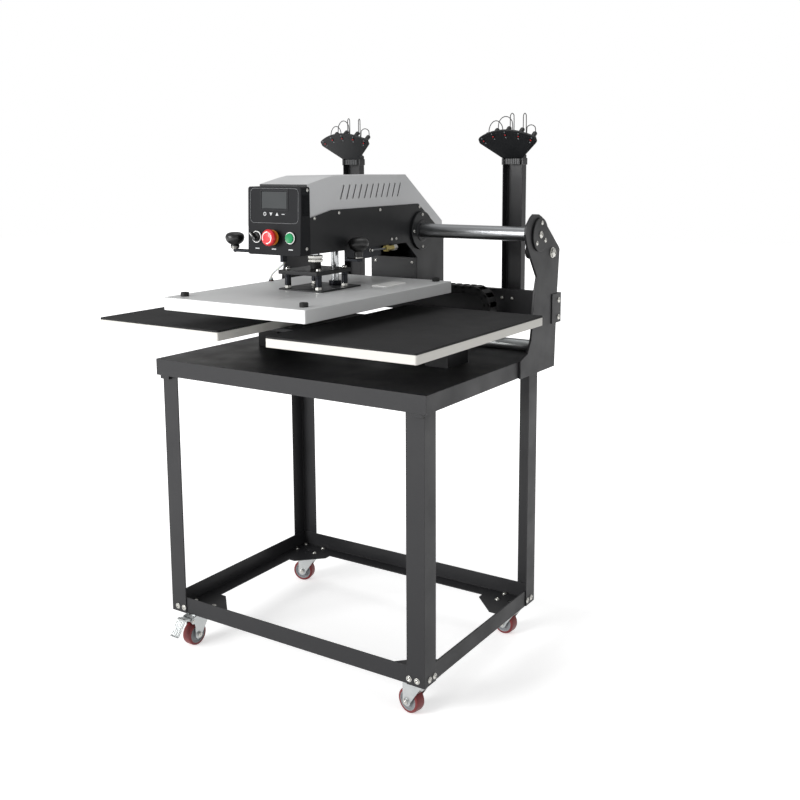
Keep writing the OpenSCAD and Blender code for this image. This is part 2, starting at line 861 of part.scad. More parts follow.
// A wire rises from the back of a laser, turns over and drops behind the sheet
module laser_wire(a, rise, end_side, end_up) {
    ring = fan_r - laser_ring;
    tail = fan_wall + laser_len + fit_gap + leg_d / 2;
    tail_side = ring * sin(a);
    tail_up = fan_centre + ring * cos(a);
    rest = fan_wall + fit_gap + leg_d / 2;
    run_x = end_side - tail_side;
    run_y = fan_y(rest, end_up) - fan_y(tail, tail_up);
    top = fan_z(tail, tail_up) + rise;
    bar_z(leg_d, fan_z(tail, tail_up), top + over, tail_side, fan_y(tail, tail_up));
    translate([tail_side + run_x / 2, fan_y(tail, tail_up) + run_y / 2, top])
        rotate([90, 0, atan2(run_y, run_x)]) rotate_extrude(angle = 180)
            translate([norm([run_x, run_y]) / 2, 0]) circle(d = wire_d);
    bar_z(leg_d, fan_z(rest, end_up), top + over, end_side, fan_y(rest, end_up));
}
module laser_wires() {
    color("#161617") at_row() for (side = [-1, 1]) translate([side * post_x, 0, 0]) {
        for (k = [0 : len(laser_angles) - 1])
            laser_wire(laser_angles[k], wire_rises[k], wire_end_sides[k], wire_end_ups[k]);
    }
}

// Cable chain and its tray
module chain_tray() {
    z = chain_turn_z - chain_r;
    web = (beam_y + beam_back) / 2;
    left = chain_fixed_x - tray_left;
    right = chain_turn_x + tray_right;
    color("#2d2e31") at_row() {
        block([left, chain_y - tray_front, z - tray_t], [right, beam_back, z]);
        block([left, web - tray_t / 2, z], [right, web + tray_t / 2, beam_z]);
    }
}
module chain_groove_cut() {
    half = chain_groove / 2;
    deep = chain_groove_deep + over;
    for (r = [chain_in_r - over, chain_r - chain_groove_deep]) {
        block([-half, chain_y - over, r], [half, chain_y + chain_w + over, r + deep]);
    }
}
module cable_chain() {
    low = chain_turn_z - chain_r;
    high = chain_turn_z + chain_r;
    back = chain_y + chain_w;
    bend_n = floor(180 / (chain_pitch / (chain_r - chain_t / 2) * 180 / PI));
    color("#17181a") at_row() difference() {
        union() {
            block([chain_fixed_x, chain_y, low], [chain_turn_x, back, low + chain_t]);
            block([chain_end_x, chain_y, high - chain_t], [chain_turn_x, back, high]);
            intersection() {
                difference() {
                    bar_y(2 * chain_r, chain_y, back, chain_turn_x, chain_turn_z);
                    bar_y(2 * chain_in_r, chain_y - over, back + over, chain_turn_x, chain_turn_z);
                }
                block(
                    [chain_turn_x, chain_y - over, low - over],
                    [chain_turn_x + chain_r + over, back + over, high + over]
                );
            }
        }
        for (x = [chain_turn_x : -chain_pitch : chain_end_x + chain_pitch / 2]) {
            translate([x, 0, chain_turn_z]) chain_groove_cut();
        }
        for (x = [chain_turn_x : -chain_pitch : chain_fixed_x + chain_pitch / 2]) {
            translate([x, 0, chain_turn_z]) mirror([0, 0, 1]) chain_groove_cut();
        }
        for (i = [1 : bend_n - 1]) {
            translate([chain_turn_x, 0, chain_turn_z]) rotate([0, i * 180 / bend_n, 0]) chain_groove_cut();
        }
    }
}

// Press head
module head_sides() {
    points = spread(head_shares, [head_y, head_z], [head_len, head_h]);
    color("#3b3c40") at_head() both_sides() difference() {
        slab_x(points, head_w / 2 - head_t, head_t);
        bar_x(bearing_d + 2 * fit_gap, 0, head_w, rod_y, rod_z);
    }
}
module column_plates() {
    half = inner_w / 2;
    top = head_z + column_top_share * head_h;
    back_top = head_z + column_back_share * head_h;
    color("#35363a") at_head() {
        block([-head_w / 2, column_y - head_t, head_z], [head_w / 2, column_y, top]);
        block([-half, head_back - head_t, head_z], [half, head_back, back_top]);
        block([-half, beam_y - shoe_d - over, head_z], [half, head_back - head_t, head_z + shoe_plate_t]);
    }
}
module cover_outline() {
    polygon(spread(cover_shares, [head_y, cover_z], [cover_len, cover_h]));
}
module cover_block(w) { translate([-w / 2, 0, 0]) rotate([90, 0, 90]) linear_extrude(w) children(); }
module head_cover() {
    lean = atan2(slot_lean, slot_h);
    color("#c6c8ca") at_head() difference() {
        cover_block(cover_w) cover_outline();
        for (drop = [0, 2 * cover_t]) translate([0, 0, -drop]) {
            cover_block(cover_w - 2 * cover_t) offset(delta = -cover_t) cover_outline();
        }
        for (i = [0 : slot_n - 1]) {
            translate([-cover_w / 2 - over, slot_y + i * slot_pitch, cover_z + slot_up]) rotate([-lean, 0, 0])
                cube([cover_w + 2 * over, slot_w, slot_h]);
        }
    }
}
module arm_base() {
    half = inner_w / 2;
    back = head_y + arm_rear_share * head_len;
    color("#313236") at_head() difference() {
        union() {
            block([-half, head_y + arm_front_gap, arm_z], [half, back, arm_z + arm_t]);
            bar_z(guide_boss_d, arm_z, arm_z + guide_boss_h, 0, guide_y);
        }
        bar_z(rod_piston_d + 2 * fit_gap, arm_z - over, arm_z + arm_t + over, 0, ram_y);
        bar_z(guide_d + 2 * fit_gap, arm_z - over, arm_z + guide_boss_h + over, 0, guide_y);
    }
}
module rod_bearings() {
    face = head_w / 2;
    color("#4b4d50") at_head() both_sides() difference() {
        union() {
            bar_x(bearing_flange_d, face, face + bearing_flange_t, rod_y, rod_z);
            bar_x(bearing_d, face - bearing_len, face, rod_y, rod_z);
        }
        bar_x(rod_d + 2 * fit_gap, 0, head_w, rod_y, rod_z);
    }
}
module slide_shoes() {
    color("#e8e6df") at_head() both_sides() block(
        [shoe_x - shoe_w / 2, beam_y - shoe_d, head_z - shoe_h],
        [shoe_x + shoe_w / 2, beam_y - fit_gap, head_z]
    );
}
module air_cylinder() {
    low = arm_z + arm_t;
    color("#aeb1b5") at_head() {
        difference() {
            bar_z(ram_d, low, low + ram_h, 0, ram_y);
            bar_z(ram_d - 2 * ram_wall, low + ram_cap, low + ram_h - ram_cap, 0, ram_y);
            bar_z(rod_piston_d + 2 * fit_gap, low - over, low + ram_cap + over, 0, ram_y);
        }
        translate([-valve_size[0] / 2, valve_y, low]) cube(valve_size);
    }
}
module in_panel(z) {
    y = box_front + box_lean * (z - box_z) / box_h;
    translate([0, y, z]) rotate([-panel_tilt, 0, 0]) children();
}
module button_place(i) { in_panel(box_z + button_up) translate([i * button_pitch, 0, 0]) children(); }
module box_solid(inset) {
    half = box_w / 2 - inset;
    r = box_r - inset / 2;
    rotate([90, 0, 0]) mirror([0, 0, 1]) round_slab(
        [-half, box_z + inset, box_front + inset],
        [half, box_z + box_h - inset, box_back - inset],
        r
    );
}
module control_box() {
    reach = box_w;
    color("#2e2f32") at_head() difference() {
        box_solid(0);
        in_panel(box_z) block([-reach, -reach, -reach], [reach, 0, 2 * reach]);
        difference() {
            box_solid(box_wall);
            in_panel(box_z) block([-reach, -reach, -reach], [reach, box_wall, 2 * reach]);
        }
        for (i = [-1 : 1]) button_place(i) bar_y(bezel_bore, -over, box_wall + over, 0, 0);
        in_panel(screen_z) block(
            [-screen_w / 2 - fit_gap, -over, -screen_h / 2 - fit_gap],
            [screen_w / 2 + fit_gap, screen_sink, screen_h / 2 + fit_gap]
        );
        for (i = [0 : louvre_n - 1]) {
            y = louvre_y + i * louvre_pitch;
            block([-box_w, y, box_z + louvre_up], [box_w, y + louvre_w, box_z + louvre_up + louvre_h]);
        }
    }
}
module control_board() {
    z = box_z + box_h / 2;
    color("#2f5c3a") at_head() {
        block([-board_w / 2, board_y, z - board_h / 2], [board_w / 2, board_y + board_t, z + board_h / 2]);
        for (s = chip_shares) translate([s[0] * board_w, 0, z + s[1] * board_h]) {
            chip = [s[2] * board_w / 2, s[2] * board_h / 2];
            block([-chip[0], board_y - chip_t, -chip[1]], [chip[0], board_y, chip[1]]);
        }
    }
}
module control_screen() {
    color("#22312f") at_head() in_panel(screen_z) block(
        [-screen_w / 2, screen_sink - screen_t, -screen_h / 2],
        [screen_w / 2, screen_sink, screen_h / 2]
    );
}
module button_bezels() {
    color("#e9e9e6") at_head() for (i = [-1 : 1]) button_place(i) difference() {
        bar_y(bezel_d, -bezel_t, 0, 0, 0);
        bar_y(bezel_bore, -bezel_t - over, over, 0, 0);
    }
}
module selector_knob() {
    face = -bezel_t - selector_proud;
    reach_share = 0.4;
    color("#1a1a1b") at_head() button_place(-1) {
        bar_y(button_d, face, button_in, 0, 0);
        rotate([0, -lever_angle, 0])
            block(
                [-lever_w / 2, face - lever_t, -reach_share * lever_len],
                [lever_w / 2, face + over, (1 - reach_share) * lever_len]
            );
    }
}
module estop_button() {
    top = -estop_proud;
    rise = -estop_proud + estop_head;
    color("#b0201f") at_head() button_place(0) {
        translate([0, top, 0]) rotate([-90, 0, 0]) {
            cylinder(d1 = estop_d - 2 * estop_edge, d2 = estop_d, h = estop_edge);
            translate([0, 0, estop_edge]) cylinder(d = estop_d, h = estop_head - 2 * estop_edge);
            translate([0, 0, estop_head - estop_edge])
                cylinder(d1 = estop_d, d2 = estop_neck, h = estop_edge);
        }
        bar_y(estop_neck, rise - over, button_in, 0, 0);
    }
}
module start_button() {
    color("#2f9a45") at_head() button_place(1) bar_y(button_d, -start_proud, button_in, 0, 0);
}
module knob(d, h, foot_z, neck_h, bore_h) {
    r = d / 2;
    base = foot_z + neck_h;
    points = concat(
        [[0, foot_z], [neck_d / 2, foot_z], [neck_d / 2, base]],
        [for (s = knob_shares) [s[0] * r, base + s[1] * h]],
        [[0, base + h]]
    );
    difference() {
        rotate_extrude() polygon(points);
        bar_z(stud_d + 2 * fit_gap, foot_z - over, foot_z + bore_h, 0, 0);
    }
}
module handle_bars() {
    stud_low = eye_d / 2 - bar_d / 2;
    color("#26272a") at_head() {
        bar_x(bar_d, left_knob[0], -box_w / 2, left_knob[1], left_bar_z);
        translate([left_knob[0], left_knob[1], left_bar_z]) sphere(d = eye_d);
        bar_z(stud_d, left_bar_z - stud_low, left_foot + stud_h, left_knob[0], left_knob[1]);
        bar_z(flat_w, right_bar_z, right_bar_z + flat_t, right_knob[0], right_knob[1]);
        block(
            [head_w / 2 - head_t, web_front, right_bar_z],
            [right_knob[0], web_front + flat_w, right_bar_z + flat_t]
        );
        difference() {
            slab_x(
                [
                    [web_front, right_bar_z], [web_slope, right_bar_z], [web_back, right_bar_z + web_rise],
                    [web_back, arm_z], [web_front, arm_z]
                ],
                head_w / 2 - head_t, head_t
            );
            bar_x(elbow_d + 2 * fit_gap, 0, head_w, tube_front, fitting_z);
        }
        bar_z(stud_d, right_bar_z, right_foot + stud_h, right_knob[0], right_knob[1]);
        block(
            [-head_w / 2 - clip_t, clip_y, arm_z - clip_h],
            [-head_w / 2, clip_y + clip_d, arm_z + clip_lap]
        );
    }
}
module handle_knob_left() {
    color("#1b1b1d") at_head() translate([left_knob[0], left_knob[1], 0])
        knob(knob_d, knob_h, left_foot, left_neck_h, stud_h + fit_gap);
}
module handle_knob_right() {
    color("#1b1b1d") at_head() translate([right_knob[0], right_knob[1], 0])
        knob(right_knob_d, right_knob_h, right_foot, right_neck_h, stud_h + fit_gap);
}
module air_fitting() {
    inside = head_w / 2 - head_t;
    x = inside + fitting_d / 2;
    end = fitting_y + fitting_len;
    color("#c79a4b") at_head() difference() {
        union() {
            bar_y(fitting_d, fitting_y, end, x, fitting_z);
            bar_y(fitting_nut_d, end - fitting_nut_l, end, x, fitting_z);
            bar_y(fitting_nut_d, fitting_y, fitting_y + fitting_nut_l, x, fitting_z);
            bar_z(fitting_d, fitting_z, arm_z, inside - fitting_d / 2, fitting_y + fitting_len / 2);
            bar_y(tube_d, tube_front, fitting_y, x, fitting_z);
            bar_z(elbow_d, fitting_z - elbow_d / 2, arm_z, inside - elbow_d / 2, tube_front);
            bar_x(elbow_d, inside - elbow_d / 2, x + elbow_d / 2, tube_front, fitting_z);
        }
        bar_y(inlet_bore, end - inlet_deep, end + over, x, fitting_z);
    }
}
module head_screws() {
    side = head_w / 2;
    top = head_z + head_h;
    column_top = head_z + column_top_share * head_h;
    column_face = column_y - head_t;
    color("#bfc1c4") at_head() both_sides() {
        for (a = bearing_screw_angles) {
            y = rod_y + bearing_screw_r * cos(a);
            z = rod_z + bearing_screw_r * sin(a);
            screw_x(small_head_d, small_head_h, side + bearing_flange_t, y, z, 1);
        }
        for (y = plate_screw_y) {
            down = y < plate_screw_y[1] ? 2 * plate_screw_down : plate_screw_down;
            screw_x(small_head_d, small_head_h, side, y, top - down, 1);
        }
        for (y = low_screw_y) screw_x(small_head_d, small_head_h, side, y, arm_z + low_screw_up, 1);
        screw_z = column_top - column_screw_down;
        screw_front(small_head_d, small_head_h, column_screw_x, column_face, screw_z);
        for (i = [0, 1]) {
            z = box_z + box_screw_up[i];
            screw_x(small_head_d, small_head_h, box_w / 2, box_screw_y[i], z, 1);
        }
    }
}

// Press carriage
module piston_rod() {
    coupling_top = top_plate_up + coupling_h;
    piston_top = arm_z + arm_t + ram_h - ram_cap - over;
    color("#c9ccd0") at_head() {
        bar_z(coupling_d, top_plate_up, coupling_top, 0, ram_y);
        bar_z(lock_nut_d, coupling_top, coupling_top + lock_nut_h, 0, ram_y);
        bar_z(rod_piston_d, coupling_top, piston_top, 0, ram_y);
        bar_z(ram_d - 2 * ram_wall - 2 * fit_gap, piston_top - piston_h, piston_top, 0, ram_y);
    }
}
module guide_column() {
    color("#d8dadd") at_head() bar_z(guide_d, low_plate_z, rod_z + guide_up, 0, guide_y);
}
module press_plates() {
    color("#4a4b4e") at_head() {
        block(
            [-top_plate_w / 2, top_plate_front, top_plate_z],
            [top_plate_w / 2, top_plate_front + top_plate_d, top_plate_up]
        );
        block(
            [-low_plate_w / 2, low_plate_front, housing_top],
            [low_plate_w / 2, low_plate_front + low_plate_d, low_plate_z]
        );
    }
}
module platen_studs() {
    middle = (low_plate_z + top_plate_z) / 2;
    half = top_plate_w / 2 - sleeve_inset;
    color("#77797c") at_head() for (x = [-half, half]) {
        for (y = [low_plate_front + sleeve_inset, top_plate_front + top_plate_d - sleeve_inset]) {
            bar_z(sleeve_d, low_plate_z, top_plate_z, x, y);
            bar_z(sleeve_nut_d, middle - sleeve_nut_h / 2, middle + sleeve_nut_h / 2, x, y);
            translate([x, y, top_plate_up]) screw(stud_head_d, stud_head_h);
        }
    }
}
module platen_housing() {
    half_w = housing_w / 2;
    half_d = housing_d / 2;
    low = hot_z + lip_drop;
    color("#d3d5d6") at_head() difference() {
        round_slab(
            [-half_w, platen_y - half_d, low],
            [half_w, platen_y + half_d, housing_top],
            platen_round
        );
        block(
            [housing_wall - half_w, platen_y - half_d + housing_wall, low - over],
            [half_w - housing_wall, platen_y + half_d - housing_wall, housing_top - housing_wall]
        );
    }
    color("#18181a") at_head() both_sides() for (side = [-1, 1]) {
        y = platen_y + side * (half_d - (side > 0 ? cap_rear_inset_y : cap_inset_y));
        bar_z(cap_d, housing_top, housing_top + cap_h, half_w - cap_inset_x, y);
    }
}
module heating_plate() {
    half_w = housing_w / 2 - heater_side;
    half_d = housing_d / 2 - heater_end;
    color("#a9acb0") at_head()
        block([-half_w, platen_y - half_d, hot_z], [half_w, platen_y + half_d, hot_z + heater_t]);
}
module insulation() {
    half_w = housing_w / 2 - heater_side;
    half_d = housing_d / 2 - heater_end;
    color("#e6e0cf") at_head() block(
        [-half_w, platen_y - half_d, hot_z + heater_t],
        [half_w, platen_y + half_d, housing_top - housing_wall]
    );
}
module heater_cable() {
    color("#ececea") at_head() for (i = [1 : len(cable_points) - 1]) hull() {
        for (end = [i - 1, i]) translate(cable_points[end]) sphere(d = cable_d, $fn = cable_facets);
    }
}

table_top();
legs();
rails();
corner_plates();
stand_bolts();
caster_plates();
caster_fork_fl();
caster_fork_fr();
caster_fork_rr();
caster_fork_rl();
caster_wheel_fl();
caster_wheel_fr();
caster_wheel_rr();
caster_wheel_rl();
brake_pedal();
pedestals();
base_plate();
lower_platens();
pads();
side_plates();
rear_beam();
beam_brackets();
tie_bar();
slide_rod();
rod_flanges();
stop_bumpers();
frame_screws();
laser_posts();
laser_heads();
laser_modules();
laser_wires();
chain_tray();
cable_chain();
head_sides();
column_plates();
head_cover();
arm_base();
rod_bearings();
slide_shoes();
air_cylinder();
control_box();
control_board();
control_screen();
button_bezels();
selector_knob();
estop_button();
start_button();
handle_bars();
handle_knob_left();
handle_knob_right();
air_fitting();
head_screws();
piston_rod();
guide_column();
press_plates();
platen_studs();
platen_housing();
heating_plate();
insulation();
heater_cable();
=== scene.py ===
"""Dresses a dual station heat press: painted steel, padded platens, controls, lasers and casters."""

import json
import math

import bmesh
import bpy
from bpy.props import FloatProperty, FloatVectorProperty, IntProperty, PointerProperty
from mathutils import Matrix, Vector


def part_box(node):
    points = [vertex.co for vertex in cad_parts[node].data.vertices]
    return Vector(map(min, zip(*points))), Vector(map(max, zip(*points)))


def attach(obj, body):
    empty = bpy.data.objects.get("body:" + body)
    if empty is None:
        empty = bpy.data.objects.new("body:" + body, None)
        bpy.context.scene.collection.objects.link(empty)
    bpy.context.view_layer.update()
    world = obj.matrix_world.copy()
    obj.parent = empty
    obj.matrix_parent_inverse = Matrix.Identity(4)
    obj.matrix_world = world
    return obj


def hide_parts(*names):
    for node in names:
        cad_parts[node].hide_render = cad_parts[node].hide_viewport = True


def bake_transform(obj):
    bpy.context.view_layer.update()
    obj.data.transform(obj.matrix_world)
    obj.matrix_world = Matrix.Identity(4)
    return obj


bl_info = {
    "name": "Dual station heat press",
    "version": (1, 0, 0),
    "blender": (4, 5, 0),
    "location": "View3D > Sidebar > Heat press",
    "description": "Dresses a dual station heat press and sets up its studio",
    "category": "Add Mesh",
}

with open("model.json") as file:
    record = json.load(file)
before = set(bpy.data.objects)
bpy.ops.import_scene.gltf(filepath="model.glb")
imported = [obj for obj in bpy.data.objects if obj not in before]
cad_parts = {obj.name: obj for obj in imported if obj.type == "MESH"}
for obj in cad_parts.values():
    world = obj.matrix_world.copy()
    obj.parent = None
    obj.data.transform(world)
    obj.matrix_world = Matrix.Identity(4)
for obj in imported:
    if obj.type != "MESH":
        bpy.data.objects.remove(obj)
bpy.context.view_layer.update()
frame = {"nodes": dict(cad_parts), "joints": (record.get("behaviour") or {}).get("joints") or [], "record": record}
NODES = frame["nodes"]
JOINTS = {j["name"]: j for j in frame["joints"]}
BODY_OF = {n: b for b, ns in frame["record"]["behaviour"]["bodies"].items() for n in ns}
SLOT_OF = {s["node"]: s["material_slot"] for s in frame["record"]["subparts"]}
MM = 0.001
MIDDLE_Y = 284.4
HEAD_X = -15.0
UP, BACK = (0, 0, 1), (0, 1, 0)
CASTERS = ("fl", "fr", "rr", "rl")


def linear(hex_code):
    """An sRGB hex colour as linear red, green, blue."""
    channels = [int(hex_code[i : i + 2], 16) / 255 for i in (1, 3, 5)]
    return [c / 12.92 if c <= 0.04045 else ((c + 0.055) / 1.055) ** 2.4 for c in channels]


def colour_prop(name, description, hex_code):
    return FloatVectorProperty(
        name=name, description=description, subtype="COLOR", size=3, min=0, max=1, default=linear(hex_code)
    )


def length_prop(name, description, default):
    return FloatProperty(
        name=name, description=description, default=default * MM, min=0, unit="LENGTH", precision=4
    )


class PressPaint(bpy.types.PropertyGroup):
    frame: colour_prop("Frame coat", "Powder coat of the stand and the rear frame", "#232325")
    head: colour_prop("Head coat", "Powder coat of the head's side plates and control box", "#18191b")
    cover: colour_prop("Cover coat", "Silver powder coat of the head cover", "#d2d3d4")
    platen: colour_prop("Platen coat", "White powder coat of the upper platen", "#c9caca")
    pad: colour_prop("Pad", "Silicone foam of the pads", "#141415")
    tread: colour_prop("Tread", "Polyurethane of the caster treads", "#7a2426")
    stop: colour_prop("Stop button", "Moulded cap of the emergency stop", "#d8202a")
    start: colour_prop("Start button", "Moulded cap of the start button", "#058a50")


class PressSizes(bpy.types.PropertyGroup):
    edge: length_prop("Sheet edge", "Rounding of the sheet metal edges", 0.7)
    platen_edge: length_prop("Platen edge", "Rounding of the upper platen's edges", 1.8)
    wire: length_prop("Laser wire", "Thickness of the wires on the lasers", 2.4)
    chain_pitch: length_prop("Chain pitch", "Distance between the cable chain's links", 23)
    lamp: FloatProperty(name="Lamp power", description="Power of the main lamp, in watts", default=62, min=0)
    rod_sides: IntProperty(name="Round sides", description="Sides of a turned piece", default=64, min=12)


# Materials ------------------------------------------------------------------


def add(tree, kind, inputs=(), **settings):
    """Adds a shader node, sets it up, and links or fills its inputs."""
    made = tree.nodes.new("ShaderNode" + kind)
    for key, value in settings.items():
        setattr(made, key, value)
    for key, value in dict(inputs).items():
        if isinstance(value, bpy.types.NodeSocket):
            tree.links.new(value, made.inputs[key])
        else:
            made.inputs[key].default_value = value
    return made


def remap(tree, value, start, end, low, high, **settings):
    """A value's stretch from start to end, drawn out from low to high."""
    inputs = {"Value": value, "From Min": start, "From Max": end, "To Min": low, "To Max": high}
    return add(tree, "MapRange", inputs, **settings).outputs[0]


def seen_by_eye(tree, *rays):
    """Gives 1 to the rays that come from the camera, and to the other kinds that are named."""
    path = add(tree, "LightPath").outputs
    seen = path["Is Camera Ray"]
    for ray in rays:
        seen = add(tree, "Math", {0: seen, 1: path[ray]}, operation="ADD", use_clamp=True).outputs[0]
    return seen


def finish(
    name, colour, rough=0.5, metal=0.0, grain=1.0, stretch=(1, 1, 1), depth=0.02, spread=0.08,
    tint=0.06, worn=None, wear=0.35, edge=0.8, cells=False, **shader
):
    """A surface: its grain size, depth and edge radius are in mm, and spread and tint vary it."""
    made = bpy.data.materials.new(name)
    made.use_nodes = True
    tree = made.node_tree
    tree.nodes.clear()
    rgba = [*colour[:3], 1]
    made.diffuse_color = rgba
    spot = add(tree, "TexCoord").outputs["Object"]
    squeezed = add(tree, "Mapping", {"Vector": spot, "Scale": stretch}).outputs[0]
    fine_scale = 1 / (grain * MM)
    if cells:
        fine = add(tree, "TexVoronoi", {"Vector": squeezed, "Scale": fine_scale}).outputs["Distance"]
    else:
        fine = add(tree, "TexNoise", {"Vector": squeezed, "Scale": fine_scale, "Detail": 3}).outputs[0]
    broad_mm = 90
    broad = add(tree, "TexNoise", {"Vector": spot, "Scale": 1 / (broad_mm * MM), "Detail": 4}).outputs[0]
    shade = remap(tree, broad, 0.3, 0.7, 1 - tint, 1 + tint)
    grain_shade = remap(tree, fine, 0, 1, 1 - tint, 1 + tint)
    both = add(tree, "Math", {0: shade, 1: grain_shade}, operation="MULTIPLY").outputs[0]
    painted = add(tree, "VectorMath", {0: rgba[:3], "Scale": both}, operation="SCALE").outputs[0]
    rounded = add(tree, "Bevel", {"Radius": edge * MM}, samples=4).outputs[0]
    if worn:
        flat = add(tree, "NewGeometry").outputs["Normal"]
        turn = add(tree, "VectorMath", {0: rounded, 1: flat}, operation="DOT_PRODUCT").outputs["Value"]
        near_edge = remap(tree, turn, 0.985, 0.93, 0, wear)
        patchy = add(tree, "Math", {0: near_edge, 1: broad}, operation="MULTIPLY").outputs[0]
        mix = add(tree, "Mix", {"Factor": patchy}, data_type="RGBA")
        tree.links.new(painted, mix.inputs[6])
        mix.inputs[7].default_value = [*linear(worn), 1]
        painted = mix.outputs[2]
    gloss = remap(tree, broad, 0.3, 0.7, rough - spread, rough + spread)
    bump = add(tree, "Bump", {"Height": fine, "Distance": depth * MM, "Strength": 1, "Normal": rounded})
    coat = {"Base Color": painted, "Metallic": metal, "Roughness": gloss, "Normal": bump.outputs[0]}
    bsdf = add(tree, "BsdfPrincipled", coat)
    for key, value in shader.items():
        bsdf.inputs[key.replace("_", " ").title().replace("Ior", "IOR")].default_value = value
    add(tree, "OutputMaterial", {"Surface": bsdf.outputs[0]})
    return made


def make_finishes():
    """Every finish of the press, by its name."""
    paint = bpy.context.scene.press_paint
    made = {}

    def keep(key, *args, **settings):
        made[key] = finish(key, *args, **settings)

    # Polyester powder coat, baked on steel: satin, with a fine orange peel about 1 mm across
    keep(
        "frame_powder_coat", paint.frame, 0.46, grain=1.1, depth=0.012, worn="#77777a", tint=0.05,
        specular_ior_level=0.36,
    )
    keep(
        "head_powder_coat", paint.head, 0.42, grain=0.9, depth=0.01, worn="#5c5d60", tint=0.04,
        specular_ior_level=0.32,
    )
    # Silver powder coat with a little metal flake: soft sheen, lighter at the folds
    keep("silver_powder_coat", paint.cover, 0.4, metal=0.25, grain=0.6, depth=0.008, tint=0.03, worn="#dddddf")
    # White powder coat on the heated platen's housing: smooth and half matt. Its front faces get a lighter copy of
    # the coat, a painted highlight where the key lamp falls on them
    keep("white_coat_painted_front_highlight", linear("#f2f2f2"), 0.42, grain=0.9, depth=0.008, tint=0.01, worn="#fafafa")
    keep("white_powder_coat", paint.platen, 0.38, grain=0.9, depth=0.008, tint=0.02, worn="#f2f2f2")
    # Milled aluminium: fine cutter lines 0.8 mm apart, drawn along the depth
    keep("milled_aluminium", linear("#b9bbbe"), 0.38, 1, 0.8, (1, 0.05, 1), 0.02, worn="#e6e7e8")
    # Cast aluminium of the lower platens, blasted and clear coated: pale and almost matt
    keep("cast_aluminium", linear("#d8d6d0"), 0.55, 0.1, 0.9, (1, 1, 1), 0.015, tint=0.04, worn="#f4f3ef")
    # Silicone foam sheet: matt, with open cells about 1 mm across
    keep("silicone_foam", paint.pad, 0.86, grain=1.2, depth=0.05, cells=True, tint=0.12)
    # Hard chrome on ground steel: mirror bright, with faint lines round the rod
    keep("hard_chrome", linear("#a6a8aa"), 0.34, 1, 0.7, (1, 0.03, 0.03), 0.002, 0.02, 0.02)
    # The same chrome on the upright rods, polished along their length
    keep("polished_chrome", linear("#bfc1c3"), 0.16, 1, 40, (1, 1, 0.03), 0.0, 0.01, 0.01)
    # Nickel plate on turned steel: bright and a little warm
    keep("nickel_plate", linear("#c8c7c2"), 0.27, 1, 0.5, (1, 1, 0.2), 0.006, worn="#f0efe9")
    # Zinc plate on pressed steel: pale, with crystal patches about 5 mm across
    keep("zinc_plate", linear("#c3c6c6"), 0.36, 1, 5, (1, 1, 1), 0.01, 0.12, 0.1, worn="#e6e8e8")
    # Moulded nylon of the cable chain: black and dull
    keep("moulded_nylon", linear("#161617"), 0.55, grain=0.5, depth=0.015)
    # Phenolic resin of the ball knobs: black, pressed in a polished mould
    keep("phenolic_knob", linear("#0e0e0f"), 0.36, grain=6, depth=0.01, coat_weight=0.12, coat_roughness=0.3)
    # Moulded ABS of the button parts: a light sheen
    keep("black_abs", linear("#111112"), 0.32, grain=0.4, depth=0.006)
    keep("white_abs", linear("#f1f1ef"), 0.35, grain=0.4, depth=0.005, tint=0.02)
    keep("red_abs", paint.stop, 0.27, grain=0.4, depth=0.005, tint=0.03, coat_weight=0.3)
    keep("green_abs", paint.start, 0.34, grain=0.4, depth=0.005, tint=0.03, specular_ior_level=0.25)
    keep("orange_abs", linear("#e58a1f"), 0.34, grain=0.4, depth=0.005, tint=0.03)
    # Polycarbonate front film: smooth, slightly glossy, printed on its back
    keep("front_film", linear("#141518"), 0.42, grain=0.3, depth=0.003, tint=0.02, specular_ior_level=0.16)
    # Control box: the head's powder coat in its finest, driest grain
    keep(
        "box_powder_coat", linear("#121316"), 0.5, grain=0.7, depth=0.008, worn="#3c3d41", tint=0.03,
        specular_ior_level=0.14,
    )
    keep("white_print", linear("#c9cbcc"), 0.45, grain=0.3, depth=0.002, tint=0.03)
    keep("grey_print", linear("#8f9193"), 0.45, grain=0.3, depth=0.002, tint=0.03)
    # Dark glass of the display, unlit
    keep("display_glass", linear("#1d2224"), 0.42, grain=8, depth=0.0, specular_ior_level=0.3)
    # Turned brass: fine lathe rings
    keep("turned_brass", linear("#b8a868"), 0.34, 0.85, 0.5, (1, 4, 1), 0.01, worn="#dccf9a")
    # Cast polyurethane tread on a grey nylon hub
    keep("cast_polyurethane", paint.tread, 0.42, grain=2.5, depth=0.03, tint=0.1)
    keep("dark_nylon", linear("#3c3d3f"), 0.5, grain=0.8, depth=0.01)
    keep("grey_nylon", linear("#8d9093"), 0.45, grain=0.8, depth=0.01)
    # Rubber of the bumpers and caps: matt, faint bloom
    keep("black_rubber", linear("#131313"), 0.7, grain=0.8, depth=0.02)
    # PVC and silicone coverings of the wires and the heater's cable
    keep("pvc_wire", linear("#19191a"), 0.4, grain=0.6, depth=0.004)
    keep("silicone_cable", linear("#dedfdd"), 0.42, grain=1.2, depth=0.01, tint=0.03, subsurface_weight=0.1)
    # Polyurethane air tube: grey, slightly clear
    keep("air_tube", linear("#6d7073"), 0.25, grain=2, depth=0.005, transmission_weight=0.15)
    # Glass fibre board, fibre insulation and acetal shoes
    keep("circuit_board", linear("#1f5a34"), 0.4, grain=3, depth=0.02)
    keep("fibre_board", linear("#d8cfb8"), 0.85, grain=1, depth=0.06)
    keep("acetal", linear("#dcdad2"), 0.4, grain=1, depth=0.005)
    # Blackened steel of the spacer sleeves
    keep("black_oxide", linear("#24262b"), 0.33, 0.7, 0.6, (1, 1, 0.3), 0.006)
    return made


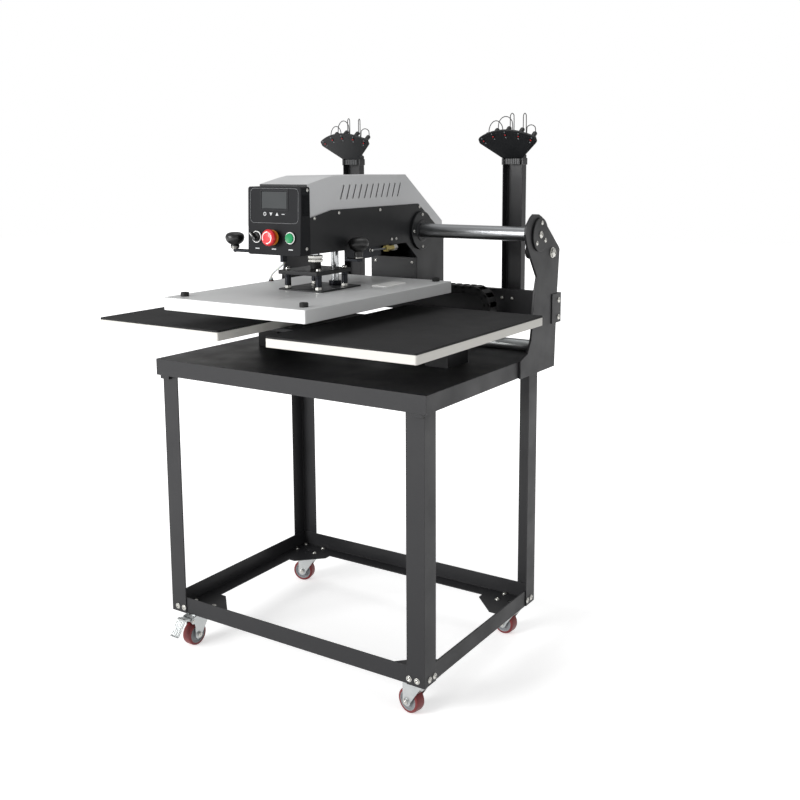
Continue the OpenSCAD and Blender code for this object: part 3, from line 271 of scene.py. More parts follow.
FINISHES = {}
SLOT_FINISH = {
    "black_steel": "frame_powder_coat", "dark_plate": "head_powder_coat", "light_cover": "silver_powder_coat",
    "white_paint": "white_powder_coat", "aluminium": "milled_aluminium", "silicone": "silicone_foam",
    "chrome": "hard_chrome", "nickel": "nickel_plate", "zinc": "zinc_plate", "black_rubber": "black_rubber",
    "black_plastic": "moulded_nylon", "knob_plastic": "phenolic_knob", "red_plastic": "red_abs",
    "green_plastic": "green_abs", "bezel_plastic": "white_abs", "brass": "turned_brass",
    "screen": "display_glass", "board": "circuit_board", "insulation": "fibre_board",
    "tread": "cast_polyurethane", "shoe": "acetal", "white_cable": "silicone_cable",
}


# Shapes ---------------------------------------------------------------------


def place(x, y, z):
    """A place in mm: from the machine's middle, from the table's front edge, and from the floor."""
    return Vector((x, y - MIDDLE_Y, z)) * MM


def at_head(x, y, z):
    """A place like that, but from the middle of the head."""
    return place(HEAD_X + x, y, z)


def shift(x, y, z):
    """A matrix that moves by x, y and z."""
    return Matrix.Translation((x, y, z))


def spin(angle, axis):
    """A matrix that turns by an angle in degrees about X, Y or Z."""
    return Matrix.Rotation(math.radians(angle), 4, axis)


def upright(origin):
    """A matrix in mm that keeps the machine's own directions."""
    return Matrix.Translation(origin) @ Matrix.Scale(MM, 4)


def aim(origin, out, up=UP):
    """A matrix in mm whose Z points along out and whose Y leans towards up."""
    z = Vector(out).normalized()
    x = Vector(up).cross(z)
    x = x.normalized() if x.length > 1e-6 else Vector((1, 0, 0))
    y = z.cross(x)
    turn = Matrix((x, y, z)).transposed().to_4x4()
    return Matrix.Translation(origin) @ turn @ Matrix.Scale(MM, 4)


def soften(part, width, segments=2):
    """Rounds the sharp edges of a mesh."""
    limit = 25
    sharp = [
        e for e in part.edges
        if len(e.link_faces) == 2 and e.calc_face_angle(0) > math.radians(limit)
    ]
    if width > 0 and sharp:
        bmesh.ops.bevel(
            part, geom=sharp, offset=width, segments=segments, profile=0.5, affect="EDGES", clamp_overlap=True
        )
    return part


def brick(low, high, width):
    """A block between two corners, with rounded edges."""
    part = bmesh.new()
    size = [b - a for a, b in zip(low, high)]
    middle = [(a + b) / 2 for a, b in zip(low, high)]
    bmesh.ops.create_cube(part, size=1, matrix=Matrix.Translation(middle) @ Matrix.Diagonal((*size, 1)))
    return soften(part, width)


def slab(outline, thick, width, segments=2):
    """A flat outline, pulled up by its thickness."""
    part = bmesh.new()
    base = part.faces.new([part.verts.new((x, y, 0)) for x, y in outline])
    top = bmesh.ops.extrude_face_region(part, geom=[base])["geom"]
    bmesh.ops.translate(part, vec=(0, 0, thick), verts=[v for v in top if isinstance(v, bmesh.types.BMVert)])
    bmesh.ops.recalc_face_normals(part, faces=part.faces)
    return soften(part, width, segments)


def arc(x, y, r, start, end, n):
    """Points of an arc about x, y, from one angle to another."""
    step = math.radians(end - start) / n
    first = math.radians(start)
    return [(x + r * math.cos(first + i * step), y + r * math.sin(first + i * step)) for i in range(n + 1)]


def round_rect(w, h, r, n=8):
    """An outline with rounded corners, about its middle."""
    x, y = w / 2 - r, h / 2 - r
    corners = ((x, y, 0), (-x, y, 90), (-x, -y, 180), (x, -y, 270))
    return [point for cx, cy, start in corners for point in arc(cx, cy, r, start, start + 90, n)]


def circle(r, n=24):
    """An outline of n points round the middle."""
    return [(r * math.cos(a), r * math.sin(a)) for a in (i * 2 * math.pi / n for i in range(n))]


def ring_strip(outside, inside, thick):
    """A flat band between two outlines of as many points."""
    part = bmesh.new()
    rows = [[part.verts.new((x, y, z)) for x, y in line] for line, z in
            ((outside, 0), (outside, thick), (inside, thick), (inside, 0))]
    n = len(outside)
    for k in range(4):
        a, b = rows[k], rows[(k + 1) % 4]
        for i in range(n):
            part.faces.new((a[i], a[(i + 1) % n], b[(i + 1) % n], b[i]))
    bmesh.ops.recalc_face_normals(part, faces=part.faces)
    return part


def turned(profile, sides=None, hexed=()):
    """A profile of radii and heights, turned about Z. Points named in hexed are drawn as a hexagon."""
    sides = sides or bpy.context.scene.press_sizes.rod_sides
    part = bmesh.new()
    rows = []
    for k, (r, z) in enumerate(profile):
        if r == 0:
            rows.append([part.verts.new((0, 0, z))])
            continue
        row = []
        for i in range(sides):
            a = 2 * math.pi * i / sides
            reach = r / math.cos((a % (math.pi / 3)) - math.pi / 6) if k in hexed else r
            row.append(part.verts.new((reach * math.cos(a), reach * math.sin(a), z)))
        rows.append(row)
    for a, b in zip(rows, rows[1:]):
        for i in range(max(len(a), len(b))):
            j = (i + 1) % sides
            corners = [a[i % len(a)], a[j % len(a)], b[j % len(b)], b[i % len(b)]]
            corners = list(dict.fromkeys(corners))
            if len(corners) > 2:
                part.faces.new(corners)
    bmesh.ops.recalc_face_normals(part, faces=part.faces)
    return part


def disc(d, h, edge, bore=0):
    """A turned disc with chamfered rims, and a bore if it has one."""
    r, b = d / 2, bore / 2
    if b:
        return turned([(b, 0), (r - edge, 0), (r, edge), (r, h - edge), (r - edge, h), (b, h), (b, 0)])
    return turned([(0, 0), (r - edge, 0), (r, edge), (r, h - edge), (r - edge, h), (0, h)])


def hex_nut(across, h, bore=0):
    """A hexagon nut with turned corners."""
    r = across / 2
    cut = 0.12 * h
    points = [(bore / 2, 0), (0.9 * r, 0), (r, cut), (r, h - cut), (0.9 * r, h), (bore / 2, h)]
    points += [(bore / 2, 0)] if bore else []
    return turned(points, 48, hexed=(2, 3))


def socket_screw(d, h):
    """A button head screw with a hexagon socket."""
    r = d / 2
    deep = 0.62 * h
    socket = [(0, h - deep), (0.42 * r, h - deep), (0.42 * r, h)]
    head = [(0.62 * r, h), (0.86 * r, 0.82 * h), (r, 0.35 * h), (r, 0), (0, 0)]
    return turned(socket + head, 36, hexed=(1, 2))


def swept(points, r, sides):
    """A round tube of radius r along points, with rounded ends."""
    part = bmesh.new()
    points = [Vector(p) for p in points]
    turns = [2 * math.pi * k / sides for k in range(sides)]
    normal = None
    rows = []
    for i, p in enumerate(points):
        along = (points[min(i + 1, len(points) - 1)] - points[max(i - 1, 0)]).normalized()
        if normal is None:
            normal = along.orthogonal().normalized()
        normal = (normal - along * normal.dot(along)).normalized()
        side = along.cross(normal)
        rows.append([part.verts.new(p + r * (normal * math.cos(a) + side * math.sin(a))) for a in turns])
    for a, b in zip(rows, rows[1:]):
        for k in range(sides):
            part.faces.new((a[k], a[(k + 1) % sides], b[(k + 1) % sides], b[k]))
    part.faces.new(rows[0])
    part.faces.new(rows[-1])
    bmesh.ops.recalc_face_normals(part, faces=part.faces)
    return part


def smooth_line(points, per):
    """Points of one smooth curve through the given points, so many to each stretch."""
    points = [Vector(p) for p in points]
    ends = [2 * points[0] - points[1], *points, 2 * points[-1] - points[-2]]
    line = []
    for a, b, c, d in zip(ends, ends[1:], ends[2:], ends[3:]):
        for k in range(per):
            t = k / per
            slope, bend, twist = c - a, 2 * a - 5 * b + 4 * c - d, 3 * b - a - 3 * c + d
            line.append(0.5 * (2 * b + slope * t + bend * t**2 + twist * t**3))
    return [*line, points[-1]]


def cad_mesh(node, width):
    """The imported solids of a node, joined up and with their edges rounded, in metres."""
    part = bmesh.new()
    part.from_mesh(NODES[node].data)
    bmesh.ops.remove_doubles(part, verts=part.verts, dist=1e-6)
    bmesh.ops.dissolve_limit(part, angle_limit=math.radians(1), verts=part.verts, edges=part.edges)
    return soften(part, width)


def solids(node):
    """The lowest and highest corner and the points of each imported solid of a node, in mm."""
    part = bmesh.new()
    part.from_mesh(NODES[node].data)
    bmesh.ops.remove_doubles(part, verts=part.verts, dist=1e-6)
    seen, found = set(), []
    for first in part.verts:
        if first.index in seen:
            continue
        group, queue = [], [first]
        seen.add(first.index)
        while queue:
            v = queue.pop()
            group.append(v.co / MM)
            for e in v.link_edges:
                w = e.other_vert(v)
                if w.index not in seen:
                    seen.add(w.index)
                    queue.append(w)
        low = Vector([min(c[k] for c in group) for k in range(3)])
        high = Vector([max(c[k] for c in group) for k in range(3)])
        found.append((low, high, group))
    part.free()
    return found


class Piece:
    """Collects parts in one mesh, each with its finish, and hands it to the frame."""

    def __init__(self, name):
        self.name = name
        self.mesh = bmesh.new()
        self.finishes = []

    def join(self, part, key, where=None):
        """Adds a part in one finish, and moves it to its place."""
        if key not in self.finishes:
            self.finishes.append(key)
        for f in part.faces:
            f.material_index = self.finishes.index(key)
            f.smooth = True
        if where is not None:
            bmesh.ops.transform(part, matrix=where, verts=part.verts)
        spare = bpy.data.meshes.new("spare")
        part.to_mesh(spare)
        part.free()
        self.mesh.from_mesh(spare)
        bpy.data.meshes.remove(spare)
        return self

    def turn(self, profile, key, where=None, sides=None, hexed=()):
        """Joins a turned part."""
        return self.join(turned(profile, sides, hexed), key, where)

    def done(self, body, slot, *replaced):
        """Makes the object, and tells the frame what it rides on and what it replaces; the slot it is given is not
        used.
        """
        mesh = bpy.data.meshes.new(self.name)
        self.mesh.to_mesh(mesh)
        self.mesh.free()
        for key in self.finishes:
            mesh.materials.append(FINISHES[key])
        mesh.set_sharp_from_angle(angle=math.radians(32))
        made = bpy.data.objects.new(self.name, mesh)
        bpy.context.scene.collection.objects.link(made)
        made.modifiers.new("even_shading", "WEIGHTED_NORMAL").keep_sharp = True
        if body:
            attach(made, body)
        if replaced:
            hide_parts(*replaced)
        return made


def rounded_copy(node, key, width):
    """A piece with a node's own shape and softened edges."""
    piece = Piece(node + "_rounded").join(cad_mesh(node, width), key)
    return piece.done(BODY_OF[node], SLOT_OF[node], node)


def recoat_front(made, key):
    """Gives the faces of a piece's first finish that look straight ahead another one."""
    made.data.materials.append(FINISHES[key])
    for face in made.data.polygons:
        if face.normal.y < -0.9 and face.material_index == 0:
            face.material_index = len(made.data.materials) - 1


class Maker(bpy.types.Operator):
    """Shared form of the operators that make the pieces."""

    bl_options = {"REGISTER", "UNDO"}

    def execute(self, context):
        self.make(context.scene.press_sizes)
        return {"FINISHED"}


# Pieces ---------------------------------------------------------------------


class PRESS_OT_stand(Maker):
    """Rounds the edges of the table top, the legs, the rails and their plates, in the frame's powder coat"""

    bl_idname = "press.stand"
    bl_label = "Stand"

    def make(self, sizes):
        for node in ("table_top", "legs", "rails", "corner_plates"):
            rounded_copy(node, "frame_powder_coat", sizes.edge)


class PRESS_OT_fasteners(Maker):
    """Sets socket screws on the stand, the rear frame and the head"""

    bl_idname = "press.fasteners"
    bl_label = "Fasteners"

    def make(self, sizes):
        for node in ("stand_bolts", "frame_screws", "head_screws"):
            piece = Piece(node + "_socket")
            for low, high, points in solids(node):
                size = high - low
                axis = min(range(3), key=lambda k: size[k])
                middle = (low + high) / 2
                others = [k for k in range(3) if k != axis]
                if max(size) > 1.5 * sorted(size)[1]:
                    self.stop_bolt(piece, low, high)
                    continue
                spread = []
                for face in (low[axis], high[axis]):
                    rim = [c for c in points if abs(c[axis] - face) < 0.05]
                    spread.append(max(math.hypot(*(c[k] - middle[k] for k in others)) for c in rim))
                base = 0 if spread[0] > spread[1] else 1
                out = Vector((0, 0, 0))
                out[axis] = 1 if base == 0 else -1
                foot = middle.copy()
                foot[axis] = low[axis] if base == 0 else high[axis]
                where = aim(foot * MM, out, UP if axis != 2 else BACK)
                d = size[others[0]]
                piece.join(disc(1.25 * d, 0.35 * size[axis], 0.2), "nickel_plate", where)
                piece.join(socket_screw(d, size[axis]), "nickel_plate", where)
            piece.done(BODY_OF[node], SLOT_OF[node], node)

    def stop_bolt(self, piece, low, high):
        """The long bolt that holds a stop bumper."""
        side = 1 if low.x > 0 else -1
        inner, outer = (low.x, high.x) if side > 0 else (high.x, low.x)
        y, z = (low.y + high.y) / 2, (low.z + high.z) / 2
        head_h, head_d, stem_d = 9, high.z - low.z, 16
        where = aim(Vector((inner, y, z)) * MM, (side, 0, 0))
        piece.join(disc(stem_d, abs(outer - inner) - head_h, 0.8), "nickel_plate", where)
        seat = aim(Vector((outer - side * head_h, y, z)) * MM, (side, 0, 0))
        piece.join(disc(1.3 * head_d, 2, 0.4), "nickel_plate", seat)
        piece.join(hex_nut(head_d, 0.7 * head_h), "nickel_plate", seat)
        piece.join(socket_screw(0.7 * head_d, head_h), "nickel_plate", seat)


class PRESS_OT_casters(Maker):
    """Builds the four casters: pressed forks, ball races, treads, hubs and the brake pedal"""

    bl_idname = "press.casters"
    bl_label = "Casters"

    def make(self, sizes):
        rounded_copy("caster_plates", "zinc_plate", 0.5 * MM)
        tread_r, half, hub_r = 31.5, 13.5, 24.5
        for corner in CASTERS:
            roll = JOINTS["caster_roll_" + corner]
            swivel = JOINTS["caster_swivel_" + corner]
            centre, axle = Vector(roll["pos_m"]), Vector(roll["axis"])
            wheel = Piece("caster_wheel_" + corner + "_tyre")
            where = aim(centre, axle)
            tread = [
                (hub_r, -half), (tread_r - 3.2, -half), (tread_r - 1.2, -half + 1.1), (tread_r, -half + 5),
                (tread_r, half - 5), (tread_r - 1.2, half - 1.1), (tread_r - 3.2, half), (hub_r, half),
                (hub_r, -half),
            ]
            wheel.turn(tread, "cast_polyurethane", where)
            hub = [
                (4.4, -half), (9, -half), (10.5, -half + 1), (11, 3 - half), (20.5, 3.4 - half), (22, 1 - half),
                (hub_r, -half + 0.2), (hub_r, half - 0.2), (22, half - 1), (20.5, half - 3.4), (11, half - 3),
                (10.5, half - 1), (9, half), (4.4, half), (4.4, -half),
            ]
            wheel.turn(hub, "grey_nylon", where)
            for side in (-1, 1):
                seal = shift(0, 0, side * half - (0.6 if side > 0 else 0))
                wheel.join(disc(17, 0.6, 0.15, bore=9), "black_abs", where @ seal)
            wheel.done("wheel_" + corner, "tread", "caster_wheel_" + corner)
            fork = Piece("caster_fork_" + corner + "_pressed")
            fork.join(cad_mesh("caster_fork_" + corner, 0.6 * MM), "zinc_plate")
            top = upright(Vector(swivel["pos_m"]))
            race = [(22.3, -0.2), (25.5, -0.2), (27, -1.4), (27.6, -3.4), (27.2, -5.6), (22.3, -6.2)]
            fork.turn(race, "zinc_plate", top)
            for side in (-1, 1):
                nut = aim(centre + axle * side * 18.4 * MM, axle * side)
                fork.join(disc(18, 1.4, 0.3, bore=8.4), "zinc_plate", nut)
                fork.join(hex_nut(13, 6, bore=6), "nickel_plate", nut)
                fork.turn([(0, 0), (3.4, 0), (3.4, 7), (2.8, 7.6), (0, 7.6)], "nickel_plate", nut, 24)
            fork.done("fork_" + corner, "zinc", "caster_fork_" + corner)
        self.pedal()

    def pedal(self):
        """The foot brake: a bent plate with pressed ribs down its face."""
        pin = JOINTS["brake_press"]
        centre = Vector(JOINTS["caster_roll_fl"]["pos_m"])
        pivot = Vector(JOINTS["caster_swivel_fl"]["pos_m"])
        trail = (centre - pivot).to_2d().normalized().to_3d()
        across = Vector(pin["axis"])
        floor_point = Vector((pivot.x, pivot.y, 0))

        def spot(along, side, up):
            return floor_point + (trail * along + across * side + Vector((0, 0, up))) * MM

        piece = Piece("brake_pedal_ribbed").join(cad_mesh("brake_pedal", 0.5 * MM), "zinc_plate")
        top, foot = (66.9, 86.6), (93.0, 49.4)
        for k in range(5):
            side = -10.4 + 5.2 * k
            run, drop = foot[0] - top[0], foot[1] - top[1]
            line = [spot(top[0] + t * run, side, top[1] + t * drop) for t in (0.05, 0.35, 0.65, 0.95)]
            piece.join(swept(line, 1.3 * MM, 10), "zinc_plate")
        lip = [spot(93.2, s, 48.6) for s in (-13.4, -6, 0, 6, 13.4)]
        piece.join(swept(lip, 1.6 * MM, 12), "zinc_plate")
        for side in (-1, 1):
            head = aim(Vector(pin["pos_m"]) + across * side * 18.5 * MM, across * side)
            piece.join(disc(9, 2.2, 0.7), "nickel_plate", head)
        piece.done("pedal", "zinc", "brake_pedal")


class PRESS_OT_stations(Maker):
    """Builds the two lower platens with their silicone pads, and what carries them"""

    bl_idname = "press.stations"
    bl_label = "Stations"

    def make(self, sizes):
        rounded_copy("pedestals", "head_powder_coat", sizes.edge)
        rounded_copy("base_plate", "head_powder_coat", 1 * MM)
        slabs, pads = Piece("lower_platens_milled"), Piece("pads_foam")
        for piece, node, key, corner, edge in (
            (slabs, "lower_platens", "cast_aluminium", 4, (0.8, 2)),
            (pads, "pads", "silicone_foam", 5, (1.4, 3)),
        ):
            for low, high, _ in solids(node):
                size = high - low
                middle = (low + high) / 2 * MM
                where = upright(Vector((middle.x, middle.y, low.z * MM)))
                piece.join(slab(round_rect(size.x, size.y, corner), size.z, *edge), key, where)
        slabs.done("stand", "aluminium", "lower_platens")
        pads.done("stand", "silicone", "pads")


class PRESS_OT_rear_frame(Maker):
    """Builds the side plates, the rear beam and its brackets, the chain tray, flanges and bumpers"""

    bl_idname = "press.rear_frame"
    bl_label = "Rear frame"

    def make(self, sizes):
        rounded_copy("side_plates", "frame_powder_coat", 0.9 * MM)
        for node in ("rear_beam", "beam_brackets", "chain_tray"):
            rounded_copy(node, "frame_powder_coat", 0.5 * MM)
        flanges = Piece("rod_flanges_turned")
        bumpers = Piece("stop_bumpers_moulded")
        rod_y, rod_z, stop_y, stop_z = 550, 1112, 631.6, 1059.7
        for side in (-1, 1):
            seat = aim(place(side * 420.5, rod_y, rod_z), (side, 0, 0))
            flange = [(0, 0), (43.2, 0), (44, 0.9), (44, 4), (43, 5), (9, 5), (8, 4.4), (0, 4.4)]
            flanges.turn(flange, "head_powder_coat", seat)
            face = aim(place(side * 348.1, stop_y, stop_z), (side, 0, 0))
            rubber = [
                (0, 0), (15, 0), (18.6, 1.6), (20, 5), (20, 19), (18.5, 20), (18.5, 23.5), (17.5, 25), (0, 25)
            ]
            bumpers.turn(rubber, "black_rubber", face)
        flanges.done("stand", "black_steel", "rod_flanges")
        bumpers.done("stand", "black_rubber", "stop_bumpers")


class PRESS_OT_lasers(Maker):
    """Builds the laser posts, their fan plates, the lasers and their wires"""

    bl_idname = "press.lasers"
    bl_label = "Laser posts"

    post_x = 271.6
    beam_back = 687.0
    post_top = 1308.0
    lean = 36
    # The fan: the middle and radius of its arc, its sheet's thickness, and a laser's length
    centre, ring, sheet, length = -70, 146, 2.5, 32
    # Each laser's angle, and its wire's rise and lower end
    angles = (-29, -15, 0, 15, 29)
    rises = (2, 6, 24, 28, 8)
    ends = ((-16, 50), (14, 52), (20, 60), (54, 52), (52, 40))

    def make(self, sizes):
        rounded_copy("laser_posts", "frame_powder_coat", 0.6 * MM)
        rounded_copy("laser_heads", "head_powder_coat", 0.6 * MM)
        grille = Piece("laser_post_grilles_painted_slot_shade")
        for side in (-1, 1):
            back = aim(place(side * self.post_x, self.beam_back, 1299), (0, -1, 0))
            grille.join(slab(round_rect(46, 15, 1, 3), 0.3, 0.1), "dark_nylon", back)
            # The black strips laid on the grille are painted shade: they stand for the dark insides of its vent
            # slots
            for k in range(7):
                slot = aim(place(side * self.post_x - 20.4 + 6.8 * k, self.beam_back - 0.3, 1299), (0, -1, 0))
                grille.join(slab(round_rect(2.4, 14, 1.1, 4), 0.25, 0.05), "black_rubber", slot)
        grille.done("stand", "black_steel")
        lasers = Piece("laser_modules_turned")
        wires = Piece("laser_wires_looped")
        for side in (-1, 1):
            hub = place(side * self.post_x, self.beam_back, self.post_top)
            fan = Matrix.Translation(hub) @ spin(self.lean, "X") @ Matrix.Scale(MM, 4)
            for k, angle in enumerate(self.angles):
                self.laser(lasers, fan, angle)
                self.wire(wires, fan, side, k, sizes.wire / 2)
        lasers.done("stand", "black_plastic", "laser_modules")
        wires.done("stand", "black_plastic", "laser_wires")

    def laser(self, lasers, fan, angle):
        """One laser behind the fan, its lens in the sheet, with its clamp and screws."""
        tilt = spin(angle, "Y")
        spot = fan @ shift(0, 0, self.centre) @ tilt @ shift(0, 0, self.ring)
        lasers.join(brick((-8, 2.5, -7), (8, 14.5, 7), 1.2), "black_abs", spot)
        tube = spot @ spin(-90, "X")
        tail = self.sheet + self.length
        body = [
            (0, -0.9), (2.2, -0.9), (2.6, -2), (3.3, -2), (3.7, -1.6), (3.7, 2.6), (6.1, 2.6), (6.5, 3.2),
            (6.5, 17),
        ]
        body += [
            (6.1, 17.5), (6.1, 19), (6.5, 19.5), (6.5, tail - 3), (5.8, tail - 2.4), (5.2, tail - 0.6),
            (2.4, tail), (0, tail),
        ]
        lasers.turn(body, "black_abs", tube, 32)
        lens = tube @ shift(0, 0, -1.2)
        lasers.turn([(0, 0), (1.9, 0), (1.9, 0.3), (0, 0.4)], "red_abs", lens, 20)
        for up in (-8.5, 8.5):
            screw = spot @ shift(0, 0, up) @ spin(90, "X")
            lasers.join(socket_screw(3.6, 1.3), "grey_nylon", screw)

    def wire(self, wires, fan, side, k, r):
        """A laser's wire: up from its back, over in a loop, and down behind the fan."""
        angle = math.radians(self.angles[k])
        tail_up = self.centre + self.ring * math.cos(angle)
        start = fan @ Vector((self.ring * math.sin(angle), self.sheet + self.length - 1, tail_up))
        gap = 1.65
        leave = fan @ Vector((self.ring * math.sin(angle), self.sheet + self.length + gap, tail_up))
        rest = fan @ Vector((self.ends[k][0], self.sheet + gap, self.ends[k][1]))
        top = leave.z + self.rises[k] * MM
        over = Vector((rest.x - leave.x, rest.y - leave.y, 0))
        middle = Vector((leave.x, leave.y, top)) + over / 2
        bow = 1 + 0.06 * math.sin(2.3 * k + side)
        line = [start, leave + Vector((0, 0, 1.5 * MM))]
        for step in range(1, 8):
            turn = math.pi * step / 8
            rise = Vector((0, 0, over.length / 2 * bow * math.sin(turn)))
            line.append(middle - over / 2 * math.cos(turn) + rise)
        line += [rest.lerp(Vector((rest.x, rest.y, top)), 0.6), rest]
        wires.join(swept(smooth_line(line, 5), r, 8), "pvc_wire")


class PRESS_OT_cable_chain(Maker):
    """Links the cable chain from its tray to the head"""

    bl_idname = "press.cable_chain"
    bl_label = "Cable chain"

    def make(self, sizes):
        pitch = sizes.chain_pitch / MM
        front, back, thick = 580.0, 625.0, 22.0
        bend_x, bend_z, bend_r = 205.0, 905.0, 46.0
        low_x, high_x = -60.0, 65.0
        low_run, bend_run, high_run = bend_x - low_x, math.pi * bend_r, bend_x - high_x
        total = low_run + bend_run + high_run
        n = round(total / pitch)
        step = total / n
        piece = Piece("cable_chain_links")

        def spot(s):
            """Place and heading along the chain's middle."""
            if s < low_run:
                return (low_x + s, bend_z - bend_r), 0.0
            if s < low_run + bend_run:
                a = (s - low_run) / bend_r
                return (bend_x + bend_r * math.sin(a), bend_z - bend_r * math.cos(a)), a
            return (bend_x - (s - low_run - bend_run), bend_z + bend_r), math.pi

        for k in range(n):
            (x, z), turn = spot((k + 0.5) * step)
            heading = Matrix.Rotation(-turn, 4, "Y")
            where = Matrix.Translation(place(x, front, z)) @ heading @ Matrix.Scale(MM, 4)
            half, wide, round_r = step / 2, back - front, thick / 2 - 1.2
            cheek = arc(half - 2, 0, round_r, -75, 75, 6) + arc(-half + 2, 0, round_r, 105, 255, 6)
            for y in (2.6, wide):
                face = where @ shift(0, y, 0) @ spin(90, "X")
                piece.join(slab(cheek, 2.6, 0.4), "moulded_nylon", face)
            for up in (-1, 1):
                low, high = sorted((up * (thick / 2 - 2.4), up * thick / 2))
                bridge = brick((-half * 0.62, 1, low), (half * 0.62, wide - 1, high), 0.6)
                piece.join(bridge, "moulded_nylon", where)
            for y in (-0.1, wide - 0.9):
                pin = where @ shift(half - 1, y, 0) @ spin(-90, "X")
                piece.turn([(0, 0), (4.2, 0), (4.2, 1), (0, 1)], "moulded_nylon", pin, 20)
        for x, z in ((low_x + 6, bend_z - bend_r), (high_x + 4, bend_z + bend_r)):
            bracket = upright(place(x, front, z))
            piece.join(brick((-9, 4, -9), (9, back - front - 4, 9), 1), "zinc_plate", bracket)
        made = piece.done(None, "black_plastic", "cable_chain")
        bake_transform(made)


class PRESS_OT_head(Maker):
    """Builds the head: side plates, cover, column, arm base, shoes, bearings and the handles"""

    bl_idname = "press.head"
    bl_label = "Press head"

    def make(self, sizes):
        rounded_copy("head_sides", "head_powder_coat", sizes.edge)
        recoat_front(rounded_copy("head_cover", "silver_powder_coat", 0.4 * MM), "head_powder_coat")
        rounded_copy("column_plates", "head_powder_coat", sizes.edge)
        rounded_copy("arm_base", "head_powder_coat", sizes.edge)
        rounded_copy("slide_shoes", "acetal", 0.8 * MM)
        bearings = Piece("rod_bearings_turned")
        for side in (-1, 1):
            seat = aim(at_head(side * 76, 550, 1112), (side, 0, 0))
            flange = [
                (19.3, -56), (28, -56), (28, 0), (52.2, 0), (53, 0.8), (53, 5), (52, 6), (31, 6), (29, 7.4),
                (24, 7.4), (23, 6.4), (19.3, 6.4), (19.3, -56),
            ]
            bearings.turn(flange, "head_powder_coat", seat)
        bearings.done("head", "dark_plate", "rod_bearings")
        self.handles()

    def handles(self):
        """The two handle bars' coating, nut and washer, and the ball knobs on them."""
        bars = Piece("handle_bars_forged").join(cad_mesh("handle_bars", 0.6 * MM), "black_oxide")
        left = at_head(-139, 30, 1087)
        nut = aim(at_head(-80.4, 30, 1087), (-1, 0, 0))
        bars.join(hex_nut(14, 6, bore=8.4), "black_oxide", nut)
        washer = upright(left + Vector((0, 0, 3.2)) * MM)
        bars.join(disc(16, 1.8, 0.5, bore=8.4), "nickel_plate", washer)
        bars.done("head", "dark_plate", "handle_bars")
        knobs = (("left", (-139, 30), 1092.3, 9.5, 47, 30), ("right", (106, 209), 1062.3, 20, 51, 33))
        for side, (x, y), foot, neck, d, h in knobs:
            r = d / 2
            base = foot + neck
            profile = [(0, foot), (9.8, foot), (10.8, foot + 1), (10.8, base - 3), (10, base - 1.4)]
            shares = (
                (0.47, 0.0), (0.62, 0.05), (0.78, 0.15), (0.90, 0.28), (0.97, 0.41), (1, 0.54), (0.985, 0.66),
                (0.92, 0.78), (0.80, 0.875), (0.62, 0.945), (0.40, 0.985), (0.2, 0.998), (0, 1),
            )
            profile += [(r * s, base + h * t) for s, t in shares]
            where = upright(at_head(x, y, 0))
            knob = Piece("handle_knob_" + side + "_ball").turn(profile, "phenolic_knob", where)
            band = [(10.7, foot + 2), (11, foot + 2.3), (11, foot + 3.5), (10.7, foot + 3.8)]
            knob.turn(band, "nickel_plate", where)
            knob.done("knob_" + side, "knob_plastic", "handle_knob_" + side)


def panel(x, up, out=0.0):
    """A matrix on the control panel: Z out of it and Y up it, from the foot of its middle, in mm."""
    lean = math.atan2(6, 161)
    normal = Vector((0, -math.cos(lean), math.sin(lean)))
    rise = Vector((0, math.sin(lean), math.cos(lean)))
    foot = at_head(x, 11, 1082) + (rise * up + normal * out) * MM
    return aim(foot, normal, rise)


